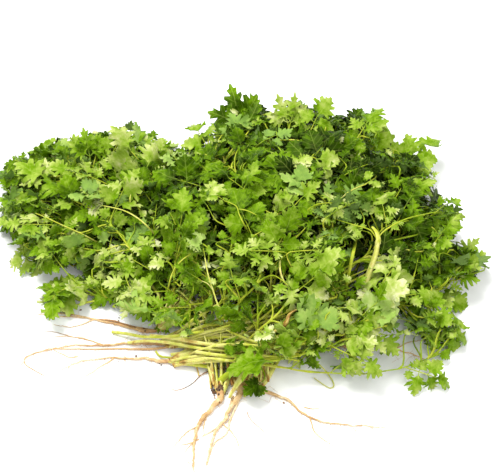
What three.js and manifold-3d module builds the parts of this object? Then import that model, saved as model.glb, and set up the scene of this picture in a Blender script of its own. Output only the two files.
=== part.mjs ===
// A bunch of coriander, pulled up whole and laid down loose: seven plants, each with a root and four to six
// leafy stems. The roots lie at the front and the left, and the stems fan out from them into a low springy heap.
// Frame: millimetres, +Z up, +X to the right along the heap, +Y away from the roots. z = 0 is the table.
import * as THREE from "three";
import Module from "manifold-3d";
import { mergeVertices } from "three/addons/utils/BufferGeometryUtils.js";

// ---- Driving dimensions, in millimetres ----
const STALK_R = 1.5; // leaf stalk at the crown
const STALK_TIP_R = 0.9; // leaf stalk under its last leaf
const STALK_STEPS = 7; // straight stretches in a stalk
const STALK_SIDES = 4;
const ROOT_R = 3.4; // root at the crown
const ROOT_TIP_R = 0.5;
const ROOT_STEPS = 8;
const ROOT_SIDES = 6;
const CROWN_BREADTH = 1.6; // how much broader than thick a root is at its crown
const NECK = 7; // straight stretch of root behind the crown
const ROOTLET_R = 0.9;
const ROOTLET_STEPS = 5;
const BLADE_T = 0.7; // leaf blade thickness
const RIB_HALF = 0.9; // half the width of the leaf's rib
const ROOT_FLAT = Math.cos(Math.PI / 6); // height of a six-sided root's middle over its flat side
const STALK_FLAT = Math.SQRT1_2; // and of a four-sided stalk's
const SLOT_PITCH = 3.8; // between neighbouring stalks where they leave the crown
const FAN = 9; // degrees between them
const CROWN_GAP = 2; // between the crown and its stalks
const CLIMB = [0.8, 0.9]; // steepest slope of a lower and an upper stalk, rise over run
const JOIN_REACH = 7; // a leaf looks for room beyond this distance from its stalk
const CROWN_REACH = 16; // and a stalk beyond this distance from its crown
const LEAF_SHARE = 0.9; // how much of its last leaf lies beyond a stalk's end
const OUTWARD = 0.3; // share of the way to its bend along which a stalk keeps its first heading
const HEADROOM = 0.9; // share of the heap's height that a bridge may use
const LEAF_TURN = 50; // degrees between a stalk and a leaf at its side
const LEAF_LIFT = 12; // degrees by which a leaf rises from the heap's slope
const TURN_RANGE = [20, 70]; // degrees by which a leaf's heading varies, at the first try and at the last
const LIFT_RANGE = [16, 50]; // and its lift
const ROLL_RANGE = [26, 60]; // and its roll
const DROOP = 0.24; // sag of a leaf along its rib, beside its length
const DROOP_RANGE = 0.16;
const CURL_RANGE = 0.25; // sag across its rib
const MOUND_POWER = 0.7; // how full a mound's sides are
const TAPER_POWER = 0.7; // how soon a root grows thin
const CELL = 1.2; // side of one cube of room
const SAMPLE = 0.6; // between the points at which a piece looks for room
const ROOM = { x: 330, y: 330, z: 120 }; // in cubes
const ROOM_FLOOR = 2; // cubes below the table
const SLOPE_REACH = 3; // to either side of a point, for the heap's slope there
const LEAF_TRIES = 400;
const LEAF_SHRINK = 0.55; // length of the last try beside the first
const STALK_TRIES = 450;
const BENDS = 9; // tries at each height, each bent further aside
const BEND_STEP = 4; // millimetres by which the next try bends further
const TURN_STEP = 2; // degrees by which it leaves the crown further aside
const BRIDGE_STEP = 1; // by which the next height is higher
const RISES_AT = 0.25; // share of its length at which a stalk starts to rise into the heap
const RISEN_AT = 0.65; // and at which it reaches its level
const SEED = 29;
const DRAW_FACTOR = 1664525; // the next draw's state is this many times the last one's
const DRAW_STEP = 1013904223; // plus this
const DRAW_RANGE = 2 ** 32; // wrapped into this range
const PIECE_STEP = 7919; // between the seeds of two pieces
const LEAF_PIECES = 100; // piece numbers kept for the leaves of a stalk

const GREEN = new THREE.Color(0.2, 0.42, 0.07);
const ROOT_TAN = new THREE.Color(0.72, 0.55, 0.36);

// ---- The plants, in the order in which they were laid down ----
// slots: which of the SLOTS its stalks leave from. bridge: the height at which they pass over other stalks.
// crown: where the root meets the stalks. heading: the way the stalks leave it, in degrees from +X.
// root, rootlet: their routes over the table, from the crown and from the root.
// stems: [bend x, bend y, tip x, tip y, leaf length, level], where a level is a share of the heap's height.
const PLANTS = [
  {
    name: "front_left",
    slots: [0, 1, 2, 3, 4, 5],
    bridge: 0,
    crown: [-16, -103],
    heading: 92,
    root: [[-27, -125], [-31, -141], [-31, -162]],
    rootlet: [[-28, -128], [-38, -136], [-46, -148]],
    stems: [
      [-12, -28, -134, -34, 46, 0.2],
      [-14, -4, -167, 2, 48, 0],
      [-10, 20, -169, 44, 52, 0.1],
      [-10, -10, -92, -22, 46, 0.7],
      [-20, 36, -163, 86, 50, 0.5],
      [-6, 50, -120, 106, 48, 0.5],
    ],
  },
  {
    name: "front_middle",
    slots: [0, 1, 2, 3, 4, 5],
    bridge: 0,
    crown: [-3, -99],
    heading: 90,
    root: [[-13, -124], [-20, -140], [-24, -157]],
    rootlet: [[-14, -127], [-5, -138], [-2, -152]],
    stems: [
      [-6, 30, -86, 104, 50, 0.4],
      [-2, 20, -4, 148, 54, 0],
      [2, 20, -28, 92, 50, 0.3],
      [-10, 20, -104, 62, 52, 0.9],
      [-4, 40, -56, 100, 48, 0.8],
      [0, 10, -62, 38, 50, 0.95],
    ],
  },
  {
    name: "front_right",
    slots: [0, 1, 2, 3, 4, 5],
    bridge: 0,
    crown: [11, -95],
    heading: 80,
    root: [[27, -110], [40, -122], [60, -127], [88, -130]],
    rootlet: [[40, -122], [45, -136], [57, -146]],
    stems: [
      [8, 10, 0, 66, 50, 0.7],
      [20, 20, 24, 106, 50, 0.4],
      [24, -70, 58, -84, 38, 0.1],
      [8, -50, 8, -10, 46, 0.8],
      [18, 0, 34, 46, 50, 0.9],
      [20, -70, 26, -42, 40, 0.8],
    ],
  },
  {
    name: "right",
    slots: [0, 1, 2, 3, 4, 5],
    bridge: 2,
    crown: [62, -62],
    heading: 112,
    root: [[82, -68], [97, -71], [110, -76], [122, -82]],
    rootlet: [[96, -71], [106, -65], [120, -64]],
    stems: [
      [56, 30, 42, 142, 50, 0.3],
      [74, 30, 82, 137, 50, 0.1],
      [104, -30, 158, 4, 44, 0.1],
      [60, 20, 62, 90, 50, 0.8],
      [84, 20, 120, 104, 52, 0.4],
      [94, -10, 148, 40, 50, 0.5],
    ],
  },
  {
    name: "back_left",
    slots: [0, 1, 2, 3, 4, 5],
    bridge: 7,
    crown: [-54, -52],
    heading: 46,
    root: [[-75, -54], [-99, -46], [-122, -42], [-136, -41]],
    rootlet: [[-98, -46], [-110, -52], [-126, -52]],
    stems: [
      [-60, -10, -112, 20, 50, 0.7],
      [-50, 10, -70, 66, 50, 0.6],
      [-30, -20, -22, 40, 50, 0.9],
      [-60, -20, -128, 54, 50, 0.95],
      [-46, -10, -48, 26, 50, 0.9],
      [-34, -40, -30, -10, 48, 0.9],
    ],
  },
  {
    name: "middle_left",
    slots: [0, 1, 2, 3, 5],
    bridge: 10,
    crown: [-48, -66],
    heading: 4,
    root: [[-70, -66], [-94, -67], [-120, -69], [-136, -73], [-143, -82]],
    rootlet: [[-92, -67], [-108, -61], [-130, -60]],
    stems: [
      [10, -50, 2, 16, 50, 0.9],
      [30, -50, 80, 30, 50, 0.8],
      [60, -50, 165, -12, 42, 0.4],
      [14, -60, 52, 80, 50, 0.8],
      [50, -56, 122, 20, 50, 0.8],
    ],
  },
  {
    name: "near_left",
    slots: [0, 1, 2, 5],
    bridge: 10,
    crown: [-44, -80],
    heading: 2,
    root: [[-62, -78], [-86, -77], [-106, -80], [-120, -87]],
    rootlet: [[-84, -77], [-97, -88], [-112, -96]],
    stems: [
      [20, -76, 50, -4, 50, 0.9],
      [40, -80, 92, -18, 50, 0.8],
      [60, -88, 148, -58, 38, 0.4],
      [40, -88, 100, -54, 44, 0.8],
    ],
  },
];

// The middle of the bunch's box in the plan coordinates above: it goes to the origin.
const MIDDLE = [-2.6, -4.5];

// The heap's three mounds: its middle, its left part, and the band of bare stalks in front. Each is
// [middle x, middle y, reach in x, reach in y, height].
const HEAP = [
  [42, 14, 124, 128, 58],
  [-84, 34, 88, 88, 34],
  [10, -62, 112, 48, 28],
];

// Where the stalks leave a crown, from left to right and then in a second row above: [sideways, up] in pitches.
const SLOTS = [[-1.5, 0], [-0.5, 0], [0.5, 0], [-1, 1], [0, 1], [1, 1]];

// Leaves on a stem: where each grows, as a step of its stalk, its side, and its length beside the end leaf's.
const LEAVES = [
  { step: 7, side: 0, share: 1 },
  { step: 6, side: -1, share: 0.9 },
  { step: 4, side: 1, share: 0.84 },
];

// A compound leaf of three leaflets, for a leaf 1 long: where the leaflets sit along the rib, and the tips and
// cuts of their lobes as [degrees, reach].
const PAIR_AT = 0.27;
const END_AT = 0.5;
const END_LEAFLET = [[-80, 0.3], [-56, 0.47], [-34, 0.32], [0, 0.5], [34, 0.32], [56, 0.47], [80, 0.3]];
const SIDE_LEAFLET = [[-52, 0.24], [-24, 0.4], [0, 0.28], [24, 0.4], [52, 0.24]];
const SIDE_TURN = 80; // degrees between the rib and a side leaflet

const wasm = await Module();
wasm.setup();

const { degToRad: radians, lerp, smoothstep } = THREE.MathUtils;

// The plan direction that lies this many degrees from +X.
function towards(degrees) {
  return new THREE.Vector2(Math.cos(radians(degrees)), Math.sin(radians(degrees)));
}

// Repeatable draws between -1 and 1, started afresh for each piece.
let state = SEED;
function startDraws(piece) {
  state = SEED + PIECE_STEP * piece;
  draw();
}

function draw() {
  state = (state * DRAW_FACTOR + DRAW_STEP) % DRAW_RANGE;
  return (2 * state) / DRAW_RANGE - 1;
}

// ---- The springy shape of the heap: how high its surface stands over each point of the table ----
function bump(x, y, [middleX, middleY, reachX, reachY, height]) {
  const away = ((x - middleX) / reachX) ** 2 + ((y - middleY) / reachY) ** 2;
  return height * Math.max(0, 1 - away) ** MOUND_POWER;
}

function heapTop(x, y) {
  return Math.max(...HEAP.map((mound) => bump(x, y, mound)));
}

function heapSlope(x, y) {
  const r = SLOPE_REACH;
  const riseX = heapTop(x + r, y) - heapTop(x - r, y);
  const riseY = heapTop(x, y + r) - heapTop(x, y - r);
  return new THREE.Vector2(riseX, riseY).divideScalar(2 * r);
}

// ---- Room: which cubes of space are taken, so that the next piece keeps clear of them ----
const room = new Uint8Array(ROOM.x * ROOM.y * ROOM.z);

function cube(p, i = 0, j = 0, k = 0) {
  const column = Math.floor(p.x / CELL) + ROOM.x / 2 + i;
  const row = Math.floor(p.y / CELL) + ROOM.y / 2 + j;
  const floor = Math.floor(p.z / CELL) + ROOM_FLOOR + k;
  return (column * ROOM.y + row) * ROOM.z + floor;
}

function take(samples) {
  for (const p of samples)
    for (let i = -1; i <= 1; i++)
      for (let j = -1; j <= 1; j++)
        for (let k = -1; k <= 1; k++) room[cube(p, i, j, k)] = 1;
}

// Whether the samples are free, leaving out those within reach of where the piece grows.
function isClear(samples, base, reach) {
  return samples.every((p) => room[cube(p)] === 0 || p.distanceTo(base) < reach);
}

// ---- Solids ----
function faceted(points, triangles) {
  const geometry = new THREE.BufferGeometry();
  geometry.setAttribute("position", new THREE.Float32BufferAttribute(points.flat(), 3));
  geometry.setIndex(triangles.flat());
  const merged = mergeVertices(geometry, 1e-4);
  return new wasm.Manifold(
    new wasm.Mesh({
      numProp: 3,
      vertProperties: merged.attributes.position.array,
      triVerts: new Uint32Array(merged.index.array),
    }),
  );
}

// The corners of a tube's ring: its flat side is down where the number of sides is even.
function ring(points, radii, i, sides, widths = radii) {
  const ahead = points[Math.min(i + 1, points.length - 1)];
  const along = ahead.clone().sub(points[Math.max(i - 1, 0)]).setZ(0).normalize();
  const across = new THREE.Vector3(-along.y, along.x, 0);
  return Array.from({ length: sides }, (_, k) => {
    const a = ((k + 0.5) / sides) * 2 * Math.PI - Math.PI / 2;
    return points[i]
      .clone()
      .addScaledVector(across, widths[i] * Math.cos(a))
      .add(new THREE.Vector3(0, 0, radii[i] * Math.sin(a)));
  });
}

// A closed tube through the points, with a radius at each of them, and a half-width where it isn't round.
function tube(points, radii, sides, widths = radii) {
  const corners = points.flatMap((_, i) => ring(points, radii, i, sides, widths));
  const triangles = [];
  for (let i = 0; i + 1 < points.length; i++)
    for (let k = 0; k < sides; k++) {
      const [a, b] = [i * sides + k, i * sides + ((k + 1) % sides)];
      triangles.push([a, b, b + sides], [a, b + sides, a + sides]);
    }
  const last = (points.length - 1) * sides;
  for (let k = 1; k + 1 < sides; k++) triangles.push([0, k + 1, k], [last, last + k, last + k + 1]);
  return faceted(corners.map((p) => p.toArray()), triangles);
}

function tubeSamples(points, radii, sides) {
  const samples = [];
  for (let i = 0; i + 1 < points.length; i++) {
    const steps = Math.ceil(points[i].distanceTo(points[i + 1]) / SAMPLE);
    const near = [points[i], ...ring(points, radii, i, sides)];
    const far = [points[i + 1], ...ring(points, radii, i + 1, sides)];
    for (let k = 0; k <= steps; k++) near.forEach((p, n) => samples.push(p.clone().lerp(far[n], k / steps)));
  }
  return samples;
}

// ---- A leaf ----
// Outline of a compound leaf, as [along, across] points that run round it once.
function leafOutline(length) {
  const lobes = (leaflet, at, turn) =>
    leaflet.map(([angle, reach]) => [
      length * (at + reach * Math.cos(radians(turn + angle))),
      length * reach * Math.sin(radians(turn + angle)),
    ]);
  return [
    [-RIB_HALF, -RIB_HALF],
    [length * PAIR_AT - RIB_HALF, -RIB_HALF],
    ...lobes(SIDE_LEAFLET, PAIR_AT, -SIDE_TURN),
    [length * PAIR_AT + 2 * RIB_HALF, -RIB_HALF],
    [length * END_AT, -RIB_HALF],
    ...lobes(END_LEAFLET, END_AT, 0),
    [length * END_AT, RIB_HALF],
    [length * PAIR_AT + 2 * RIB_HALF, RIB_HALF],
    ...lobes(SIDE_LEAFLET, PAIR_AT, SIDE_TURN),
    [length * PAIR_AT - RIB_HALF, RIB_HALF],
    [-RIB_HALF, RIB_HALF],
  ];
}

function leafFaces(length) {
  return THREE.ShapeUtils.triangulateShape(leafOutline(length).map((p) => new THREE.Vector2(...p)), []);
}

// A point of the leaf, raised or lowered by half the blade's thickness.
function onLeaf([along, across], leaf, offset) {
  const sag = (leaf.droop * along * along + leaf.curl * across * across) / leaf.length;
  return new THREE.Vector3(along, across, offset - sag)
    .applyEuler(new THREE.Euler(leaf.roll, -leaf.pitch, leaf.heading, "ZYX"))
    .add(leaf.base);
}

function blade(leaf) {
  const outline = leafOutline(leaf.length);
  const n = outline.length;
  const points = [BLADE_T / 2, -BLADE_T / 2].flatMap((offset) =>
    outline.map((p) => onLeaf(p, leaf, offset).toArray()),
  );
  const triangles = leafFaces(leaf.length).flatMap(([a, b, c]) => [[a, b, c], [n + c, n + b, n + a]]);
  for (let i = 0; i < n; i++) {
    const j = (i + 1) % n;
    triangles.push([i, n + i, n + j], [i, n + j, j]);
  }
  return faceted(points, triangles);
}

function leafSamples(leaf) {
  const outline = leafOutline(leaf.length);
  const samples = [];
  for (const face of leafFaces(leaf.length)) {
    const [a, b, c] = face.map((k) => onLeaf(outline[k], leaf, 0));
    const steps = Math.ceil(Math.max(a.distanceTo(b), b.distanceTo(c), c.distanceTo(a)) / SAMPLE);
    for (let i = 0; i <= steps; i++)
      for (let j = 0; i + j <= steps; j++)
        samples.push(
          new THREE.Vector3()
            .addScaledVector(a, i / steps)
            .addScaledVector(b, j / steps)
            .addScaledVector(c, (steps - i - j) / steps),
        );
  }
  return samples;
}

// A leaf that grows from a stalk: the first draw that keeps clear of everything, smaller if it has to be.
function placeLeaf(stem, { step, side, share }) {
  startDraws(LEAF_PIECES * stem.owner + step);
  const base = stem.points[step];
  const stretch = Math.min(step, STALK_STEPS - 1);
  const onward = stem.points[stretch + 1].clone().sub(stem.points[stretch]);
  const along = Math.atan2(onward.y, onward.x);
  const slope = heapSlope(base.x, base.y).multiplyScalar(stem.level);
  for (let attempt = 0; attempt < LEAF_TRIES; attempt++) {
    const tried = attempt / LEAF_TRIES;
    const heading = along + radians(side * LEAF_TURN + lerp(...TURN_RANGE, tried) * draw());
    const ahead = new THREE.Vector2(Math.cos(heading), Math.sin(heading));
    const leaf = {
      base,
      heading,
      length: stem.leafLength * share * lerp(1, LEAF_SHRINK, tried),
      pitch: Math.atan(slope.dot(ahead)) + radians(LEAF_LIFT + lerp(...LIFT_RANGE, tried) * draw()),
      roll: Math.atan(ahead.cross(slope)) + radians(lerp(...ROLL_RANGE, tried) * draw()),
      droop: DROOP + DROOP_RANGE * draw(),
      curl: CURL_RANGE * draw(),
    };
    const samples = leafSamples(leaf);
    if (samples.every((p) => p.z > BLADE_T / 2) && isClear(samples, base, JOIN_REACH)) {
      take(samples);
      stem.leaves.push(leaf);
      return;
    }
  }
}

// ---- A stalk: it takes the lowest clear way through the heap ----
function placeStalk(owner, base, heading, [viaX, viaY, tipX, tipY, leafLength, level], bridge, up) {
  startDraws(owner);
  const tip = new THREE.Vector2(tipX, tipY);
  const start = new THREE.Vector2(base.x, base.y);
  for (let attempt = 0; attempt < STALK_TRIES; attempt++) {
    const over = bridge + up * SLOT_PITCH + BRIDGE_STEP * Math.floor(attempt / BENDS);
    const bend = new THREE.Vector2(draw(), draw()).multiplyScalar(BEND_STEP * (attempt % BENDS));
    const via = new THREE.Vector2(viaX, viaY).add(bend);
    const end = tip.clone().add(via.clone().sub(tip).setLength(leafLength * LEAF_SHARE));
    const turned = heading + TURN_STEP * (attempt % BENDS) * draw();
    const out = start.clone().add(towards(turned).multiplyScalar(OUTWARD * start.distanceTo(via)));
    const plan = new THREE.CubicBezierCurve(start, out, via, end).getSpacedPoints(STALK_STEPS);
    const radii = plan.map((_, i) => lerp(STALK_R, STALK_TIP_R, i / STALK_STEPS));
    const points = plan.map((p, i) => {
      const lowest = radii[i] * STALK_FLAT;
      const inHeap = level * heapTop(p.x, p.y) * smoothstep(i / STALK_STEPS, RISES_AT, RISEN_AT);
      const reached = base.z + CLIMB[up] * p.distanceTo(start);
      const bridged = lowest + Math.min(over, HEADROOM * heapTop(p.x, p.y));
      return new THREE.Vector3(p.x, p.y, i ? Math.min(Math.max(bridged, inHeap), reached) : base.z);
    });
    const samples = tubeSamples(points, radii, STALK_SIDES);
    if (isClear(samples, base, CROWN_REACH)) {
      take(samples);
      return { owner, points, radii, level, leafLength, leaves: [] };
    }
  }
  throw new Error(`no clear way for stalk ${owner}`);
}

// ---- A root: its crown is as broad as the row of stalks that faces it ----
function onTable(route, steps, thickness, endThickness, flat) {
  const plan = new THREE.SplineCurve(route).getSpacedPoints(steps);
  const radii = plan.map((_, i) => lerp(thickness, endThickness, (i / steps) ** TAPER_POWER));
  return { radii, points: plan.map((p, i) => new THREE.Vector3(p.x, p.y, radii[i] * flat)) };
}

function placeRoot({ crown, heading, root, rootlet }) {
  const top = new THREE.Vector2(...crown);
  const neck = top.clone().addScaledVector(towards(heading), -NECK);
  const route = [top, neck, ...root.map((p) => new THREE.Vector2(...p))];
  const main = onTable(route, ROOT_STEPS, ROOT_R, ROOT_TIP_R, ROOT_FLAT);
  const widths = main.radii.map((radius, i) => radius * (i ? 1 : CROWN_BREADTH));
  const side = rootlet.map((p) => new THREE.Vector2(...p));
  const branch = onTable(side, ROOTLET_STEPS, ROOTLET_R, ROOT_TIP_R, STALK_FLAT);
  take(tubeSamples(main.points, main.radii, ROOT_SIDES));
  take(tubeSamples(branch.points, branch.radii, STALK_SIDES));
  const taproot = tube(main.points, main.radii, ROOT_SIDES, widths);
  return taproot.add(tube(branch.points, branch.radii, STALK_SIDES));
}

function mesh(name, made, colour, roughness) {
  const { numProp, vertProperties, triVerts } = made.getMesh();
  const geometry = new THREE.BufferGeometry();
  geometry.setAttribute("position", new THREE.BufferAttribute(vertProperties, numProp));
  geometry.setIndex(new THREE.BufferAttribute(triVerts, 1));
  const shown = new THREE.Mesh(geometry, new THREE.MeshStandardMaterial({ color: colour, roughness }));
  shown.name = name;
  return shown;
}

// ---- The bunch ----
// The roots are laid first, then every stalk, then the leaves, so that each finds room among the others.
const bunch = new THREE.Group();
bunch.position.set(-MIDDLE[0], -MIDDLE[1], 0);
const stems = [];
for (const plant of PLANTS) bunch.add(mesh(`${plant.name}_root`, placeRoot(plant), ROOT_TAN, 0.8));
PLANTS.forEach(({ name, slots, bridge, crown, heading, stems: ways }) => {
  ways.forEach((way, i) => {
    const [sideways, up] = SLOTS[slots[i]];
    const foot = new THREE.Vector2(...crown)
      .addScaledVector(towards(heading), CROWN_GAP)
      .addScaledVector(towards(heading - 90), sideways * SLOT_PITCH);
    const base = new THREE.Vector3(foot.x, foot.y, STALK_R * STALK_FLAT + up * SLOT_PITCH);
    const stalk = placeStalk(1 + stems.length, base, heading - sideways * FAN, way, bridge, up);
    stems.push({ name: `${name}_leafy_stem_${i + 1}`, ...stalk });
  });
});
for (const place of LEAVES) for (const stem of stems) placeLeaf(stem, place);
for (const { name, points, radii, leaves } of stems) {
  const made = wasm.Manifold.union([tube(points, radii, STALK_SIDES), ...leaves.map(blade)]);
  bunch.add(mesh(name, made, GREEN, 0.5));
}

export default bunch;
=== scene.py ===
"""A loose bunch of coriander, pulled up whole: cut leaflets, ribbed stalks, taproots and soil."""
import math
import random

import bmesh
import bpy
import numpy as np
from mathutils import Euler, Matrix, Vector, geometry
from mathutils.kdtree import KDTree


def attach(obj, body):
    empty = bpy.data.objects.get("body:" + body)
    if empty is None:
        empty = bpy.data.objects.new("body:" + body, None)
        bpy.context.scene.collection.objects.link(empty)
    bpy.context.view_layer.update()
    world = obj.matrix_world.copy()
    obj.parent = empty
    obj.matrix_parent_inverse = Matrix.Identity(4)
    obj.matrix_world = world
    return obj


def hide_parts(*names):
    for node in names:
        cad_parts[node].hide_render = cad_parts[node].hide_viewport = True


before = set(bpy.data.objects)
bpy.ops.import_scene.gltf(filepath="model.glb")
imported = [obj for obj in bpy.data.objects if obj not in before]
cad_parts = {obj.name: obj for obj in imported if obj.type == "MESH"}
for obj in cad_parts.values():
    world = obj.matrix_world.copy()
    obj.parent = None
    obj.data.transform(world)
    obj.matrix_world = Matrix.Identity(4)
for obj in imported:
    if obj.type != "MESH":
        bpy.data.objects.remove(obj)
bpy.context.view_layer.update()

MM = 0.001
MIDDLE = Vector((-2.6, -4.5, 0.0))  # the plan point, in millimetres, that is the frame's origin

# ---- The plants, in plan coordinates and millimetres, as the solids have them ----
# slots: where its stalks leave the crown. bridge: the height at which they pass over other stalks.
# crown: where the root meets the stalks. heading: the way the stalks leave it, in degrees from +X.
# root, rootlet: their routes over the table.
# stems: bend x and y, tip x and y, leaf length, level in the heap.
PLANTS = {
    "front_left": {
        "slots": (0, 1, 2, 3, 4, 5), "bridge": 0, "crown": (-16, -103), "heading": 92,
        "root": ((-27, -125), (-31, -141), (-31, -162)),
        "rootlet": ((-28, -128), (-38, -136), (-46, -148)),
        "stems": (
            (-12, -28, -134, -34, 46, 0.2), (-14, -4, -167, 2, 48, 0), (-10, 20, -169, 44, 52, 0.1),
            (-10, -10, -92, -22, 46, 0.7), (-20, 36, -163, 86, 50, 0.5), (-6, 50, -120, 106, 48, 0.5),
        ),
    },
    "front_middle": {
        "slots": (0, 1, 2, 3, 4, 5), "bridge": 0, "crown": (-3, -99), "heading": 90,
        "root": ((-13, -124), (-20, -140), (-24, -157)),
        "rootlet": ((-14, -127), (-5, -138), (-2, -152)),
        "stems": (
            (-6, 30, -86, 104, 50, 0.4), (-2, 20, -4, 148, 54, 0), (2, 20, -28, 92, 50, 0.3),
            (-10, 20, -104, 62, 52, 0.9), (-4, 40, -56, 100, 48, 0.8), (0, 10, -62, 38, 50, 0.95),
        ),
    },
    "front_right": {
        "slots": (0, 1, 2, 3, 4, 5), "bridge": 0, "crown": (11, -95), "heading": 80,
        "root": ((27, -110), (40, -122), (60, -127), (88, -130)),
        "rootlet": ((40, -122), (45, -136), (57, -146)),
        "stems": (
            (8, 10, 0, 66, 50, 0.7), (20, 20, 24, 106, 50, 0.4), (24, -70, 58, -84, 38, 0.1),
            (8, -50, 8, -10, 46, 0.8), (18, 0, 34, 46, 50, 0.9), (20, -70, 26, -42, 40, 0.8),
        ),
    },
    "right": {
        "slots": (0, 1, 2, 3, 4, 5), "bridge": 2, "crown": (62, -62), "heading": 112,
        "root": ((82, -68), (97, -71), (110, -76), (122, -82)),
        "rootlet": ((96, -71), (106, -65), (120, -64)),
        "stems": (
            (56, 30, 42, 142, 50, 0.3), (74, 30, 82, 137, 50, 0.1), (104, -30, 158, 4, 44, 0.1),
            (60, 20, 62, 90, 50, 0.8), (84, 20, 120, 104, 52, 0.4), (94, -10, 148, 40, 50, 0.5),
        ),
    },
    "back_left": {
        "slots": (0, 1, 2, 3, 4, 5), "bridge": 7, "crown": (-54, -52), "heading": 46,
        "root": ((-75, -54), (-99, -46), (-122, -42), (-136, -41)),
        "rootlet": ((-98, -46), (-110, -52), (-126, -52)),
        "stems": (
            (-60, -10, -112, 20, 50, 0.7), (-50, 10, -70, 66, 50, 0.6), (-30, -20, -22, 40, 50, 0.9),
            (-60, -20, -128, 54, 50, 0.95), (-46, -10, -48, 26, 50, 0.9), (-34, -40, -30, -10, 48, 0.9),
        ),
    },
    "middle_left": {
        "slots": (0, 1, 2, 3, 5), "bridge": 10, "crown": (-48, -66), "heading": 4,
        "root": ((-70, -66), (-94, -67), (-120, -69), (-136, -73), (-143, -82)),
        "rootlet": ((-92, -67), (-108, -61), (-130, -60)),
        "stems": (
            (10, -50, 2, 16, 50, 0.9), (30, -50, 80, 30, 50, 0.8), (60, -50, 165, -12, 42, 0.4),
            (14, -60, 52, 80, 50, 0.8), (50, -56, 122, 20, 50, 0.8),
        ),
    },
    "near_left": {
        "slots": (0, 1, 2, 5), "bridge": 10, "crown": (-44, -80), "heading": 2,
        "root": ((-62, -78), (-86, -77), (-106, -80), (-120, -87)),
        "rootlet": ((-84, -77), (-97, -88), (-112, -96)),
        "stems": (
            (20, -76, 50, -4, 50, 0.9), (40, -80, 92, -18, 50, 0.8), (60, -88, 148, -58, 38, 0.4),
            (40, -88, 100, -54, 44, 0.8),
        ),
    },
}
HEAP = ((42, 14, 124, 128, 58), (-84, 34, 88, 88, 34), (10, -62, 112, 48, 28))
MOUND_POWER = 0.7
SLOTS = ((-1.5, 0), (-0.5, 0), (0.5, 0), (-1, 1), (0, 1), (1, 1))
# The leaves of a stalk: its step, the side of it, and the leaf's share of the leaf length.
LEAVES = ((7, 0, 1.0), (6, -1, 0.9), (4, 1, 0.84))

STALK_R, STALK_TIP_R, STALK_STEPS = 1.5, 0.9, 7
STALK_FLAT = math.sqrt(0.5)
NECK, BLADE_T = 7, 0.7
SLOT_PITCH, FAN, CROWN_GAP = 3.8, 9, 2
CLIMB = (0.8, 0.9)
LEAF_SHARE, OUTWARD, HEADROOM = 0.9, 0.3, 0.9
LEAF_TURN, LEAF_LIFT = 50, 12
TURN_RANGE, LIFT_RANGE, ROLL_RANGE = (20, 70), (16, 50), (26, 60)
DROOP, DROOP_RANGE, CURL_RANGE = 0.24, 0.16, 0.25
SLOPE_REACH = 3
LEAF_TRIES, LEAF_SHRINK, STALK_TRIES = 400, 0.55, 450
BENDS, BEND_STEP, TURN_STEP, BRIDGE_STEP = 9, 4, 2, 1
RISES_AT, RISEN_AT = 0.25, 0.65
SEED, PIECE_STEP, LEAF_PIECES = 29, 7919, 100
DRAW_TIMES, DRAW_PLUS, DRAW_SPAN = 1664525, 1013904223, 2**32
PAIR_AT, END_AT, SIDE_TURN = 0.27, 0.5, 80
CURVE_STEPS = 201
FOUND_WITHIN = 0.05  # millimetres between a worked-out corner and the solid's own
RING_CORNERS, TRIED_RING = 4, 2  # the ring of a stalk that is looked for before the others
LIKELY, CERTAIN = 0.5, 0.9  # shares of a stalk's corners that are found


def lerp(a, b, t):
    return a + (b - a) * t


def kept_in(value, low=0.0, high=1.0):
    return min(high, max(low, value))


def smoothstep(t, low, high):
    t = kept_in((t - low) / (high - low))
    return t * t * (3 - 2 * t)


def towards(degrees):
    return np.array((math.cos(math.radians(degrees)), math.sin(math.radians(degrees))))


class Draws:
    """Repeatable draws between -1 and 1, started afresh for each piece."""

    def __init__(self, piece):
        self.state = SEED + PIECE_STEP * piece
        self.draw()

    def draw(self):
        self.state = (self.state * DRAW_TIMES + DRAW_PLUS) % DRAW_SPAN
        return 2 * self.state / DRAW_SPAN - 1


def heap_top(x, y):
    top = 0
    for middle_x, middle_y, reach_x, reach_y, height in HEAP:
        away = ((x - middle_x) / reach_x) ** 2 + ((y - middle_y) / reach_y) ** 2
        top = max(top, height * max(0, 1 - away) ** MOUND_POWER)
    return top


def heap_slope(x, y):
    r = SLOPE_REACH
    rise = (heap_top(x + r, y) - heap_top(x - r, y), heap_top(x, y + r) - heap_top(x, y - r))
    return np.array(rise) / (2 * r)


def spaced(curve, steps):
    """Points at even distances along a curve, which is a function of numbers from 0 to 1."""
    t = np.linspace(0, 1, CURVE_STEPS)
    gaps = np.linalg.norm(np.diff(curve(t), axis=0), axis=1)
    run = np.concatenate([[0], np.cumsum(gaps)])
    return curve(np.interp(np.linspace(0, run[-1], steps + 1), run, t))


def bezier(*corners):
    a, b, c, d = (np.asarray(p, float) for p in corners)

    def at(t):
        t = t[:, None]
        return (1 - t) ** 3 * a + 3 * (1 - t) ** 2 * t * b + 3 * (1 - t) * t**2 * c + t**3 * d

    return at


def flowing(points):
    """A smooth curve through points of any dimension."""
    points = np.asarray(points, float)
    last = len(points) - 1

    def at(t):
        place = np.clip(t, 0, 1) * last
        i = np.minimum(place.astype(int), last - 1)
        w = (place - i)[:, None]
        p0, p1 = points[np.maximum(i - 1, 0)], points[i]
        p2, p3 = points[i + 1], points[np.minimum(i + 2, last)]
        v0, v1 = (p2 - p0) / 2, (p3 - p1) / 2
        cubic = (2 * p1 - 2 * p2 + v0 + v1) * w**3
        return cubic + (3 * p2 - 3 * p1 - 2 * v0 - v1) * w**2 + v0 * w + p1

    return at


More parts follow.
